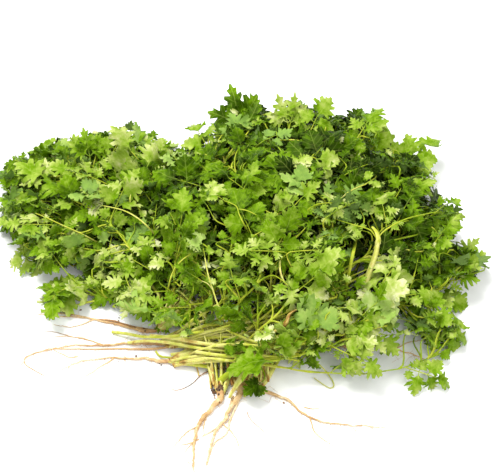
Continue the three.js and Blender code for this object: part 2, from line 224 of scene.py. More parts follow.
# ---- Where the solids' stalks and leaves lie: the first draw whose corners the solid has ----
class Solid:
    """The corners of a CAD node, in plan coordinates and millimetres."""

    def __init__(self, name):
        corners = {tuple(round(c / MM, 2) for c in v.co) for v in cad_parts[name].data.vertices}
        self.tree = KDTree(len(corners))
        for i, corner in enumerate(corners):
            self.tree.insert(Vector(corner) + MIDDLE, i)
        self.tree.balance()

    def has(self, point):
        return self.tree.find(point)[2] < FOUND_WITHIN

    def share(self, points):
        return sum(self.has(p) for p in points) / len(points)


class Leaf:
    """A leaf's place: a point of it is given by how far it lies along its rib and across it."""

    def __init__(self, base, heading, pitch, roll, length, droop, curl):
        self.base, self.length, self.droop, self.curl = Vector(base), length, droop, curl
        self.turn = Euler((roll, -pitch, heading), "XYZ").to_matrix()

    def at(self, along, across, offset=0.0):
        sag = (self.droop * along * along + self.curl * across * across) / self.length
        return self.base + self.turn @ Vector((along, across, offset - sag))


def ring_corners(points, radii, i):
    along = points[min(i + 1, len(points) - 1)] - points[max(i - 1, 0)]
    along = Vector((along[0], along[1], 0)).normalized()
    half = radii[i] * STALK_FLAT
    for side, rise in ((1, -1), (1, 1), (-1, 1), (-1, -1)):
        yield Vector(points[i]) + Vector((-along.y * half * side, along.x * half * side, half * rise))


def find_stalk(solid, owner, base, heading, way, bridge, up):
    """The stalk's points, by trying its draws in turn."""
    via_x, via_y, tip_x, tip_y, leaf_length, level = way
    draws = Draws(owner)
    start, tip = np.array(base[:2]), np.array((tip_x, tip_y), float)
    radii = [lerp(STALK_R, STALK_TIP_R, i / STALK_STEPS) for i in range(STALK_STEPS + 1)]
    best, found = None, 0
    for attempt in range(STALK_TRIES):
        spread = attempt % BENDS
        over = bridge + up * SLOT_PITCH + BRIDGE_STEP * (attempt // BENDS)
        via = np.array((via_x, via_y)) + np.array((draws.draw(), draws.draw())) * BEND_STEP * spread
        back = via - tip
        end = tip + back / np.linalg.norm(back) * leaf_length * LEAF_SHARE
        turned = towards(heading + TURN_STEP * spread * draws.draw())
        out = turned * OUTWARD * np.linalg.norm(via - start)
        points = []
        for i, (x, y) in enumerate(spaced(bezier(start, start + out, via, end), STALK_STEPS)):
            top = heap_top(x, y)
            in_heap = level * top * smoothstep(i / STALK_STEPS, RISES_AT, RISEN_AT)
            reached = base[2] + CLIMB[up] * math.hypot(x - start[0], y - start[1])
            bridged = radii[i] * STALK_FLAT + min(over, HEADROOM * top)
            points.append(np.array((x, y, min(max(bridged, in_heap), reached) if i else base[2])))
        corners = [c for i in range(len(points)) for c in ring_corners(points, radii, i)]
        tried = corners[RING_CORNERS * TRIED_RING : RING_CORNERS * (TRIED_RING + 1)]
        if solid.share(tried) < LIKELY:
            continue
        match = solid.share(corners)
        if match > found:
            best, found = points, match
        if match > CERTAIN:
            break
    if best is None:
        raise ValueError(f"no stalk found for {owner}")
    return best


def find_leaf(solid, owner, points, level, leaf_length, step, side, share):
    """The leaf that grows from this step of the stalk, or None where the stalk is bare."""
    draws = Draws(LEAF_PIECES * owner + step)
    base = points[step]
    stretch = min(step, STALK_STEPS - 1)
    onward = points[stretch + 1] - points[stretch]
    along = math.atan2(onward[1], onward[0])
    slope = heap_slope(base[0], base[1]) * level
    for attempt in range(LEAF_TRIES):
        tried = attempt / LEAF_TRIES
        turned = side * LEAF_TURN + lerp(*TURN_RANGE, tried) * draws.draw()
        heading = along + math.radians(turned)
        ahead = np.array((math.cos(heading), math.sin(heading)))
        length = leaf_length * share * lerp(1, LEAF_SHRINK, tried)
        lift = LEAF_LIFT + lerp(*LIFT_RANGE, tried) * draws.draw()
        pitch = math.atan(slope @ ahead) + math.radians(lift)
        across = ahead[0] * slope[1] - ahead[1] * slope[0]
        roll = math.atan(across) + math.radians(lerp(*ROLL_RANGE, tried) * draws.draw())
        droop, curl = DROOP + DROOP_RANGE * draws.draw(), CURL_RANGE * draws.draw()
        leaf = Leaf(base, heading, pitch, roll, length, droop, curl)
        if all(solid.has(leaf.at(length, 0, face * BLADE_T / 2)) for face in (1, -1)):
            return leaf
    return None


class Stem:
    """A leafy stem of the solids: its name, the points of its stalk, and its leaves."""

    def __init__(self, name, owner, plant, way, slot):
        sideways, up = SLOTS[slot]
        leaf_length, level = way[4:]
        heading = plant["heading"]
        foot = np.array(plant["crown"], float) + towards(heading) * CROWN_GAP
        foot = foot + towards(heading - 90) * sideways * SLOT_PITCH
        base = (foot[0], foot[1], STALK_R * STALK_FLAT + up * SLOT_PITCH)
        solid = Solid(name)
        self.name = name
        self.points = find_stalk(solid, owner, base, heading - sideways * FAN, way, plant["bridge"], up)
        found = [find_leaf(solid, owner, self.points, level, leaf_length, *place) for place in LEAVES]
        self.leaves = [leaf for leaf in found if leaf]


def find_stems():
    stems = []
    for plant_name, plant in PLANTS.items():
        for i, way in enumerate(plant["stems"]):
            name = f"{plant_name}_leafy_stem_{i + 1}"
            stems.append(Stem(name, 1 + len(stems), plant, way, plant["slots"][i]))
    return stems


stems = find_stems()

# ---- The view: where a plan point shows in a frame of 500 x 472, from its upper left corner ----
FRAME_WIDE, FRAME_HIGH = 500, 472
LENS, SENSOR = 104.6, 36.0  # millimetres
AIM_X, AIM_Y, DISTANCE, ELEVATION = 3.0, 25.5, 1000.0, 50
VIEW_SCALE = FRAME_WIDE * LENS / SENSOR
COS_E, SIN_E = math.cos(math.radians(ELEVATION)), math.sin(math.radians(ELEVATION))
SETTLE_STEPS, SETTLE_SHARE = 30, 0.4

# The edge of the foliage in that frame.
SILHOUETTE = np.array((
    (-4, 172), (13, 163), (30, 157), (57, 150), (62, 142), (80, 132), (88, 127), (100, 135),
    (125, 137), (150, 137), (170, 145), (178, 152), (195, 152), (205, 148), (207, 138), (216, 125),
    (216, 104), (222, 90), (240, 84), (260, 95), (266, 120), (279, 116), (280, 97), (300, 95),
    (312, 108), (345, 122), (362, 116), (380, 117), (383, 128), (372, 136), (388, 147), (402, 149),
    (414, 160), (427, 170), (439, 178), (428, 187), (434, 200), (451, 207), (463, 217), (457, 232),
    (464, 240), (472, 255), (492, 262), (488, 272), (458, 280), (441, 277), (436, 290), (421, 300),
    (432, 310), (471, 326), (450, 342), (428, 349), (413, 341), (404, 327), (394, 324), (380, 335),
    (362, 343), (338, 346), (323, 352), (314, 380), (302, 362), (278, 366), (262, 374), (237, 370),
    (212, 358), (205, 342), (185, 331), (150, 323), (135, 317), (118, 316), (110, 296), (92, 286),
    (80, 292), (60, 307), (38, 310), (37, 293), (60, 284), (80, 278), (92, 262), (72, 260),
    (74, 277), (62, 270), (50, 258), (46, 270), (22, 270), (18, 250), (24, 240), (8, 235),
    (-6, 234), (-8, 190),
))
# Open places in it, where only what lies deep shows: middle across and down, half width and height.
GAPS = (
    (230, 187, 11, 6), (328, 192, 13, 8), (214, 226, 15, 5), (288, 303, 9, 8), (148, 190, 14, 8),
    (96, 256, 7, 4), (133, 254, 8, 5), (320, 284, 9, 6), (245, 268, 8, 5), (248, 312, 9, 6),
    (424, 236, 8, 4), (62, 181, 5, 4), (192, 214, 7, 4), (262, 232, 8, 3), (300, 240, 9, 3),
    (402, 176, 7, 4),
)
# Where stout stems, withered bits and the leaf over the crown show and no other leaf hides them.
CLEAR = ((364, 270, 14, 42), (349, 276, 6, 26), (256, 362, 20, 9), (292, 316, 8, 7))


def seen_at(point):
    """Where a plan point shows in the frame."""
    y, z = point[1] - AIM_Y, point[2]
    depth = DISTANCE + y * COS_E - z * SIN_E
    rise = (y * SIN_E + z * COS_E) / depth
    return FRAME_WIDE / 2 + VIEW_SCALE * (point[0] - AIM_X) / depth, FRAME_HIGH / 2 - VIEW_SCALE * rise


def at_height(view_x, view_y, z):
    """The plan point of this height that shows at this place in the frame."""
    rise = (FRAME_HIGH / 2 - view_y) / VIEW_SCALE
    y = (rise * (DISTANCE - z * SIN_E) - z * COS_E) / (SIN_E - rise * COS_E)
    depth = DISTANCE + y * COS_E - z * SIN_E
    return np.array((AIM_X + (view_x - FRAME_WIDE / 2) * depth / VIEW_SCALE, y + AIM_Y, z))


def on_heap(view_x, view_y, share, least):
    """The point at this share of the heap's height, and at least so high, that shows there."""
    z = least
    for _ in range(SETTLE_STEPS):
        x, y, _ = at_height(view_x, view_y, z)
        z = (1 - SETTLE_SHARE) * z + SETTLE_SHARE * max(least, share * heap_top(x, y))
    return at_height(view_x, view_y, z)


def in_silhouette(point):
    x, y = seen_at(point)
    ends = np.roll(SILHOUETTE, -1, axis=0)
    (x0, y0), (x1, y1) = SILHOUETTE.T, ends.T
    spans = (y0 > y) != (y1 > y)
    crossings = x < x0[spans] + (y - y0[spans]) * (x1[spans] - x0[spans]) / (y1[spans] - y0[spans])
    return bool(crossings.sum() % 2)


def in_any(places, point, room=1.0):
    """Whether the point shows in one of the places; a smaller room keeps it to their middles."""
    x, y = seen_at(point)
    return any(
        ((x - middle_x) / half_x) ** 2 + ((y - middle_y) / half_y) ** 2 < room
        for middle_x, middle_y, half_x, half_y in places
    )


# ---- Leaflets: cut blades one unit long, which the stems carry at many sizes ----
# Half an outline from the foot to the tip, along and across, for a broad leaflet and a feathery one.
BROAD = (
    (0.00, 0.015), (0.16, 0.030), (0.25, 0.16), (0.26, 0.34), (0.35, 0.42), (0.42, 0.32), (0.49, 0.50),
    (0.62, 0.53), (0.65, 0.41), (0.61, 0.31), (0.73, 0.38), (0.84, 0.34), (0.83, 0.22), (0.94, 0.22),
    (0.94, 0.10), (1.00, 0.06),
)
FEATHERY = (
    (0.00, 0.010), (0.18, 0.016), (0.24, 0.10), (0.20, 0.30), (0.26, 0.33), (0.33, 0.14), (0.42, 0.44),
    (0.49, 0.42), (0.45, 0.13), (0.42, 0.045), (0.64, 0.28), (0.71, 0.25), (0.64, 0.045), (0.84, 0.16),
    (0.85, 0.06), (1.00, 0.018),
)
INNER_POINTS = ((0.20, 0.0), (0.42, 0.0), (0.68, 0.0), (0.34, 0.22), (0.34, -0.22))
INNER_DRAWN_IN = 0.75  # how much nearer to the rib they are on the most feathery leaflet
VARIANTS, LEAFLET_SEED = 36, 11
LEANS, BREADTHS = (-0.15, 0.10), (0.85, 1.1)
JITTER, JITTER_GROWTH = 0.018, 5  # how far outline points stray, and how fast that grows from the rib
LEAST_HALF = 0.008
BLADE_HALF = 0.010  # half the thickness of a blade, beside its length
FINGER_LIFT, LIFT_GROWTH = 0.07, 3  # how far the fingers' tips turn up or down
DROOPS, FOLDS, TWISTS = (-0.05, 0.4), (-0.3, 0.55), (-0.35, 0.35)
RIPPLES, CURLS, PHASES = (0.02, 0.06), (-0.5, 0.8), (0, 6.28)
WAVES_ALONG, WAVES_ACROSS = 10, 8
MERGED_WITHIN = 1e-5
INSIDE_ONLY = 1  # the triangulation's choice that keeps only what lies inside the outline


def leaflet_outline(rng, cut):
    """The points round a leaflet, once, each tooth and notch a little different."""
    halves = []
    for side in (1, -1):
        lean, breadth = rng.uniform(*LEANS), rng.uniform(*BREADTHS)
        half = []
        for (x0, y0), (x1, y1) in zip(BROAD, FEATHERY):
            x, y = lerp(x0, x1, cut), lerp(y0, y1, cut)
            loose = JITTER if x > 0 else 0
            x += rng.uniform(-loose, loose) + lean * y
            out = y * breadth + rng.uniform(-loose, loose) * min(1, JITTER_GROWTH * y)
            half.append((x, side * max(LEAST_HALF, out)))
        halves.append(half)
    return halves[0] + halves[1][::-1]


def leaflet_mesh(name, rng, cut):
    """A closed thin blade, its foot at the origin and its tip along +X; "under" is 1 on its lower face."""
    spread = 1 - INNER_DRAWN_IN * cut
    while True:
        outline = leaflet_outline(rng, cut)
        n = len(outline)
        edges = [(i, (i + 1) % n) for i in range(n)]
        flat = [Vector(p) for p in outline + [(x, y * spread) for x, y in INNER_POINTS]]
        made = geometry.delaunay_2d_cdt(flat, edges, [], INSIDE_ONLY, MERGED_WITHIN)
        points, faces = made[0], made[2]
        if len(points) == len(flat):
            break
    droop, fold = rng.uniform(*DROOPS), rng.uniform(*FOLDS)
    twist, ripple = rng.uniform(*TWISTS), rng.uniform(*RIPPLES)
    curl, phase = rng.uniform(*CURLS), rng.uniform(*PHASES)

    def height(x, y):
        wave = ripple * math.sin(WAVES_ALONG * x + WAVES_ACROSS * abs(y) + phase)
        return fold * abs(y) - curl * y * y - droop * x * x + twist * x * y + wave

    m = len(points)
    lifts = [height(x, y) + rng.gauss(0, FINGER_LIFT) * min(1, LIFT_GROWTH * abs(y)) for x, y in points]
    top = [(x, y, lift + BLADE_HALF) for (x, y), lift in zip(points, lifts)]
    bottom = [(x, y, lift - BLADE_HALF) for (x, y), lift in zip(points, lifts)]
    sheets = [tuple(f) for f in faces] + [tuple(m + i for i in reversed(f)) for f in faces]
    rim = [((i + 1) % n, i, m + i, m + (i + 1) % n) for i in range(n)]
    mesh = bpy.data.meshes.new(name)
    mesh.from_pydata(top + bottom, [], sheets + rim)
    mesh.attributes.new("under", "FLOAT", "POINT").data.foreach_set("value", [0.0] * m + [1.0] * m)
    plan = mesh.uv_layers.new(name="UVMap")
    for loop, place in zip(mesh.loops, plan.data):
        x, y = points[loop.vertex_index % m]
        place.uv = (x, y + 0.5)
    rims = {tuple(sorted(e)) for e in edges}
    rims |= {(m + a, m + b) for a, b in rims}
    sharp = mesh.attributes.new("sharp_edge", "BOOLEAN", "EDGE")
    sharp.data.foreach_set("value", [tuple(sorted(e.vertices)) in rims for e in mesh.edges])
    mesh.polygons.foreach_set("use_smooth", [True] * len(mesh.polygons))
    return mesh


def shape_set(name, makers):
    """A collection of small shapes for the tree to place, numbered so that it takes them in order."""
    chosen = bpy.data.collections.new(name)
    for i, maker in enumerate(makers):
        label = f"{name}_{i:02d}"
        chosen.objects.link(bpy.data.objects.new(label, maker(label)))
    return chosen


def leaflet_set():
    """Leaflets from broad to feathery."""
    rng = random.Random(LEAFLET_SEED)
    cuts = [i / (VARIANTS - 1) for i in range(VARIANTS)]
    return shape_set("leaflet", [lambda label, cut=cut: leaflet_mesh(label, rng, cut) for cut in cuts])


CRUMBS, SOIL_SEED = 8, 3
CRUMB_SIDES, CRUMB_LUMPS = ((0.8, 1.2), (0.7, 1.1), (0.5, 0.9)), (0.7, 1.25)


def crumb_mesh(label, rng):
    """A crumb of soil about one unit across."""
    shape = bmesh.new()
    bmesh.ops.create_icosphere(shape, subdivisions=1, radius=0.5)
    squash = Vector([rng.uniform(*side) for side in CRUMB_SIDES])
    for corner in shape.verts:
        corner.co = corner.co * squash * rng.uniform(*CRUMB_LUMPS)
    mesh = bpy.data.meshes.new(label)
    shape.to_mesh(mesh)
    shape.free()
    return mesh


def crumb_set():
    rng = random.Random(SOIL_SEED)
    return shape_set("crumb", [lambda label: crumb_mesh(label, rng)] * CRUMBS)


# ---- Growth: the stalks and leaflets of one piece, before they are given a surface ----
RESTS_AT = 0.85  # the least height of a stalk's middle, beside its radius


class Growth:
    """Paths that become ribbed stalks, and places that shapes grow from, in plan coordinates."""

    def __init__(self):
        self.paths, self.shapes = [], []

    def path(self, points, radii, shades):
        """Adds a path; an array that is given is itself lifted clear of the table."""
        points = np.asarray(points, float)
        radii = np.broadcast_to(radii, len(points))
        points[:, 2] = np.maximum(points[:, 2], RESTS_AT * radii)
        self.paths.append((points, radii, np.broadcast_to(shades, len(points))))

    def shape(self, foot, ahead, up, length, variant, shade):
        side = up.cross(ahead).normalized()
        turn = Matrix((ahead, side, ahead.cross(side))).transposed().to_euler()
        self.shapes.append((Vector(foot), turn, length, variant, shade))


def tangent(leaf, along, degrees):
    """The leaf's surface on its rib: the way that lies this many degrees from it, and the way up."""
    here = leaf.at(along, 0)
    c, s = math.cos(math.radians(degrees)), math.sin(math.radians(degrees))
    ahead = (leaf.at(along + c, s) - here).normalized()
    beside = (leaf.at(along - s, c) - here).normalized()
    return ahead, ahead.cross(beside).normalized()


# Where a leaf's leaflets are: along its rib, turned by, and their share of its length.
LOW_TURN = SIDE_TURN - 12
SMALL_PAIR = ((0.1, SIDE_TURN, 0.24), (0.1, -SIDE_TURN, 0.24))
SHORT_LEAF = ((END_AT - 0.09, 0, 0.62), (PAIR_AT, LOW_TURN, 0.47), (PAIR_AT, -LOW_TURN, 0.47))
LONG_LEAF = (
    (0.58, 0, 0.44), (0.44, 50, 0.37), (0.44, -50, 0.37), (PAIR_AT, LOW_TURN, 0.42),
    (PAIR_AT, -LOW_TURN, 0.42), *SMALL_PAIR,
)
FAN_LEAF = ((0.04, 0, 0.84), (0.04, 47, 0.68), (0.04, -47, 0.68))
ONE_BLADE = ((0.04, 0, 1.0),)
LONG = 31  # millimetres from which a leaf has the leaflets of a long one
SMALL_PAIR_SHARE = 0.4  # of the short leaves, those that have a small pair as well
LOOSE = 0.42  # how far leaflets lie off their leaf's surface
FAN_TIGHT = 0.4  # how loosely a fan's three blades lie, beside leaflets that stand apart
RIB_R, RIB_R_SHARE = 0.35, 0.011
RIB_AT, RIB_TAPER, RIB_PAST = (0, 0.35, 0.7, 1), np.array((1.3, 1.1, 1.0, 0.8)), 0.03
RIB_TONE, RIB_TONE_RANGE = 0.45, 0.3
TURN_STRAY, FINENESS_STRAY, TONE_STRAY, LENGTH_STRAY = 12, 0.16, 0.05, (0.85, 1.1)


def dress_leaf(growth, rng, leaf, shade, fineness, over=False, loose=LOOSE, places=None):
    """A leaf: its rib and its leaflets, at these places where they are given."""
    length = leaf.length
    loose *= FAN_TIGHT if places else 1
    places = places or (LONG_LEAF if length > LONG else SHORT_LEAF)
    if places is SHORT_LEAF and rng.random() < SMALL_PAIR_SHARE:
        places = SHORT_LEAF + SMALL_PAIR
    rib = [leaf.at(length * (places[0][0] + RIB_PAST) * t, 0) for t in RIB_AT]
    tone = RIB_TONE + RIB_TONE_RANGE * (1 - shade)
    growth.path(rib, RIB_TAPER * min(RIB_R, RIB_R_SHARE * length), tone)
    for at, degrees, share in places:
        ahead, up = tangent(leaf, at * length, degrees + rng.uniform(-TURN_STRAY, TURN_STRAY))
        lean, nod = rng.gauss(0, loose), rng.gauss(0, loose)
        side = up.cross(ahead)
        ahead = (ahead + nod * up).normalized()
        up = (up + lean * side - nod * ahead).normalized()
        if over:
            up = -up
        variant = kept_in(int(rng.gauss(fineness, FINENESS_STRAY) * VARIANTS), 0, VARIANTS - 1)
        tone = kept_in(shade + rng.gauss(0, TONE_STRAY))
        size = share * length * rng.uniform(*LENGTH_STRAY)
        growth.shape(leaf.at(at * length, 0), ahead, up, size, variant, tone)


# ---- Nodes: what finishes and the growth tree are made of ----
class Nodes:
    """A node tree that is being built."""

    def __init__(self, tree):
        self.tree = tree

    def node(self, kind, inputs=None, **settings):
        node = self.tree.nodes.new(kind)
        for key, value in settings.items():
            setattr(node, key, value)
        for key, value in (inputs or {}).items():
            self.put(value, node.inputs[key])
        return node

    def put(self, value, socket):
        if isinstance(value, bpy.types.NodeSocket):
            self.tree.links.new(value, socket)
        else:
            socket.default_value = value


# ---- Finishes ----
MIX_INPUTS, MIX_OUTPUT = (0, 6, 7), 2  # a mix node's factor and its two colours, and what comes of them


class Finish(Nodes):
    """A node material, built up from its colour to its shader."""

    def __init__(self, name):
        self.material = bpy.data.materials.new(name)
        self.material.use_nodes = True
        super().__init__(self.material.node_tree)
        self.tree.nodes.clear()

    def maths(self, operation, *values, clamp=False):
        node = self.node("ShaderNodeMath", operation=operation, use_clamp=clamp)
        for value, socket in zip(values, node.inputs):
            self.put(value, socket)
        return node.outputs[0]

    def attribute(self, name):
        return self.node("ShaderNodeAttribute", attribute_name=name).outputs["Fac"]

    def noise(self, scale, detail, distortion=0.0):
        where = self.node("ShaderNodeTexCoord").outputs["Object"]
        inputs = {"Vector": where, "Scale": scale, "Detail": detail, "Distortion": distortion}
        return self.node("ShaderNodeTexNoise", inputs).outputs["Fac"]

    def span(self, value, low, high, out_low=0.0, out_high=1.0):
        inputs = {"Value": value, "From Min": low, "From Max": high, "To Min": out_low, "To Max": out_high}
        return self.node("ShaderNodeMapRange", inputs, interpolation_type="SMOOTHSTEP").outputs[0]

    def stray(self, value, noise, amount, clamp=False):
        """The value, shifted by up to this amount either way as the noise says."""
        return self.maths("ADD", value, self.span(noise, *NOISE_SPAN, -amount, amount), clamp=clamp)

    def ramp(self, value, stops):
        node = self.node("ShaderNodeValToRGB", {"Fac": value})
        spots = node.color_ramp.elements
        while len(spots) < len(stops):
            spots.new(0.5)
        for spot, (at, colour) in zip(spots, stops):
            spot.position, spot.color = at, (*colour, 1)
        return node.outputs["Color"]

    def mix(self, factor, first, second, blend="MIX"):
        node = self.node("ShaderNodeMix", data_type="RGBA", blend_type=blend)
        for value, key in zip((factor, first, second), MIX_INPUTS):
            if isinstance(value, tuple):
                value = (*value, 1)
            self.put(value, node.inputs[key])
        return node.outputs[MIX_OUTPUT]

    def bump(self, height, strength, distance):
        inputs = {"Height": height, "Strength": strength, "Distance": distance}
        return self.node("ShaderNodeBump", inputs).outputs[0]

    def skin(self, colour, roughness, normal=None, glow=None, **constants):
        """The shader; glow is a colour that shines through, with its share."""
        inputs = {"Base Color": colour, "Roughness": roughness, **constants}
        if normal:
            inputs["Normal"] = normal
        shader = self.node("ShaderNodeBsdfPrincipled", inputs).outputs[0]
        if glow:
            through = self.node("ShaderNodeBsdfTranslucent", {"Color": glow[0]}).outputs[0]
            shader = self.node("ShaderNodeMixShader", {0: glow[1], 1: shader, 2: through}).outputs[0]
        self.node("ShaderNodeOutputMaterial", {"Surface": shader})
        return self.material


# Colours are linear; a ramp's stops are a shade and its colour. Noises: scale, detail, distortion.
NOISE_SPAN = (0.3, 0.7)  # the middle part of a noise, where nearly all of it lies
LEAF_RAMP = (
    (0.0, (0.008, 0.020, 0.001)), (0.25, (0.045, 0.105, 0.001)), (0.5, (0.165, 0.310, 0.004)),
    (0.7, (0.350, 0.480, 0.060)), (0.86, (0.545, 0.605, 0.185)), (1.0, (0.770, 0.770, 0.430)),
)
VEINS = ((0.13, 75), (0.16, 60), (0.30, 53), (0.50, 50), (0.72, 43))  # foot along the rib, degrees
MIDRIB_EDGES, VEIN_EDGES, VEIN_STRENGTH = (0.020, 0.004), (0.014, 0.003), 0.7
VEIN_SHARE, VEIN_COLOUR, VEIN_DEPTH = 0.25, (0.52, 0.66, 0.12), 0.8
# The under side's own paler colour, which also stands in for a painted sheen on the leaves that show it.
UNDER_AND_SHEEN_SHARE, UNDER_AND_SHEEN_COLOUR = 0.45, (0.35, 0.53, 0.15)
# Patches and a finer noise shift a leaf's tone at random: its own mottling, and painted shade as of folds.
PATCH_NOISE, PATCH_AND_FOLD_SHADE_STRAY, FOLD_SHADE_NOISE, FOLD_SHADE_STRAY = (110.0, 3.0), 0.12, (320.0, 2.0, 0.5), 0.08
FOOT_TO_TIP, FOOT_DARKER, TIP_PALER = (0.1, 1.0), -0.09, 0.06
LEAF_GRAIN, GRAIN_SHARE, LEAF_BUMP, LEAF_ROUGHNESS = (900.0, 3.0), 0.3, (0.4, 0.0006), (0.30, 0.46)
THROUGH_SHARE, THROUGH_COLOUR, LEAF_GLOW = 0.45, (0.50, 0.72, 0.01), 0.27
LEAF_SHEEN = {"Specular IOR Level": 0.10, "Specular Tint": (0.85, 1.0, 0.3, 1.0)}

STALK_RAMP = (
    (0.0, (0.36, 0.16, 0.035)), (0.1, (0.70, 0.50, 0.16)), (0.2, (0.84, 0.80, 0.30)),
    (0.42, (0.60, 0.62, 0.060)), (0.68, (0.34, 0.47, 0.018)), (1.0, (0.12, 0.25, 0.006)),
)
STREAK_NOISE, STREAK_STRAY, STREAK_SHARE, STALK_GRAIN = (240.0, 3.0, 0.6), 0.10, 0.5, (900.0, 2.0)
# The first of these darkens the stalks in the grooves between their ribs: painted shade.
GROOVE_PAINTED_SHADE, STALK_BUMP, STALK_ROUGHNESS, STALK_GLOW = (0.74, 0.78, 0.46), (0.25, 0.0005), 0.4, 0.15
STALK_SHEEN = {"Specular IOR Level": 0.2}

ROOT_RAMP = (
    (0.0, (0.035, 0.018, 0.008)), (0.12, (0.14, 0.065, 0.024)), (0.3, (0.42, 0.21, 0.075)),
    (0.6, (0.68, 0.45, 0.20)), (1.0, (0.86, 0.73, 0.50)),
)
BROAD_NOISE, BROAD_STRAY, BROAD_SHARE, CREASE_NOISE = (80.0, 4.0, 0.8), 0.16, 0.6, (650.0, 4.0, 1.0)
CREASE_SPAN, CREASE_STRENGTH, CREASE_COLOUR = (0.58, 0.36), 0.4, (0.26, 0.13, 0.045)
ROOT_ROUGHNESS, ROOT_BUMP = (0.55, 0.8), (0.6, 0.001)


def leaf_finish():
    """Green blades: paler along their veins and below, where the pale under side is also a painted sheen;
    the shader adds a soft sheen of its own.
    """
    leaf = Finish("coriander_leaf")
    uv = leaf.node("ShaderNodeUVMap", uv_map="UVMap").outputs[0]
    plan = leaf.node("ShaderNodeSeparateXYZ", {0: uv})
    along = plan.outputs[0]
    across = leaf.maths("ABSOLUTE", leaf.maths("SUBTRACT", plan.outputs[1], 0.5))
    veins = leaf.span(across, *MIDRIB_EDGES)
    for foot, degrees in VEINS:
        s, c = math.sin(math.radians(degrees)), math.cos(math.radians(degrees))
        run = leaf.maths("MULTIPLY", leaf.maths("SUBTRACT", along, foot), s)
        away = leaf.maths("ABSOLUTE", leaf.maths("SUBTRACT", leaf.maths("MULTIPLY", across, c), run))
        veins = leaf.maths("MAXIMUM", veins, leaf.span(away, *VEIN_EDGES, 0.0, VEIN_STRENGTH))
    # Mottling and painted fold shade.
    toned = leaf.stray(leaf.attribute("shade"), leaf.noise(*PATCH_NOISE), PATCH_AND_FOLD_SHADE_STRAY)
    toned = leaf.stray(toned, leaf.noise(*FOLD_SHADE_NOISE), FOLD_SHADE_STRAY)
    tipped = leaf.span(along, *FOOT_TO_TIP, FOOT_DARKER, TIP_PALER)
    colour = leaf.ramp(leaf.maths("ADD", toned, tipped, clamp=True), LEAF_RAMP)
    colour = leaf.mix(leaf.maths("MULTIPLY", veins, VEIN_SHARE), colour, VEIN_COLOUR)
    under = leaf.attribute("under")
    colour = leaf.mix(leaf.maths("MULTIPLY", under, UNDER_AND_SHEEN_SHARE), colour, UNDER_AND_SHEEN_COLOUR)
    grain = leaf.noise(*LEAF_GRAIN)
    raised, sunk = leaf.maths("MULTIPLY", grain, GRAIN_SHARE), leaf.maths("MULTIPLY", veins, VEIN_DEPTH)
    normal = leaf.bump(leaf.maths("SUBTRACT", raised, sunk), *LEAF_BUMP)
    roughness = leaf.span(grain, *NOISE_SPAN, *LEAF_ROUGHNESS)
    through = leaf.mix(THROUGH_SHARE, colour, THROUGH_COLOUR)
    return leaf.skin(colour, roughness, normal, (through, LEAF_GLOW), **LEAF_SHEEN)


def stalk_finish():
    """Ribbed stalks: tan and cream at the crown, then yellow-green, then green, with painted shade in
    their grooves.
    """
    stalk = Finish("coriander_stalk")
    streaks = stalk.noise(*STREAK_NOISE)
    mottled = stalk.stray(stalk.attribute("shade"), streaks, STREAK_STRAY, clamp=True)
    colour = stalk.ramp(mottled, STALK_RAMP)
    # Painted shade: the grooves between the ribs are darker.
    groove = stalk.mix(1.0, colour, GROOVE_PAINTED_SHADE, "MULTIPLY")
    colour = stalk.mix(stalk.attribute("rib"), groove, colour)
    height = stalk.maths("ADD", stalk.noise(*STALK_GRAIN), stalk.maths("MULTIPLY", streaks, STREAK_SHARE))
    normal = stalk.bump(height, *STALK_BUMP)
    return stalk.skin(colour, STALK_ROUGHNESS, normal, (colour, STALK_GLOW), **STALK_SHEEN)


def root_finish():
    """Roots: tan to orange-brown, with creases and rubbed pale patches."""
    root = Finish("coriander_root")
    broad, fine = root.noise(*BROAD_NOISE), root.noise(*CREASE_NOISE)
    colour = root.ramp(root.stray(root.attribute("shade"), broad, BROAD_STRAY, clamp=True), ROOT_RAMP)
    creases = root.span(fine, *CREASE_SPAN, 0.0, CREASE_STRENGTH)
    colour = root.mix(creases, colour, CREASE_COLOUR)
    height = root.maths("ADD", root.maths("MULTIPLY", broad, BROAD_SHARE), fine)
    roughness = root.span(fine, *NOISE_SPAN, *ROOT_ROUGHNESS)
    return root.skin(colour, roughness, root.bump(height, *ROOT_BUMP))


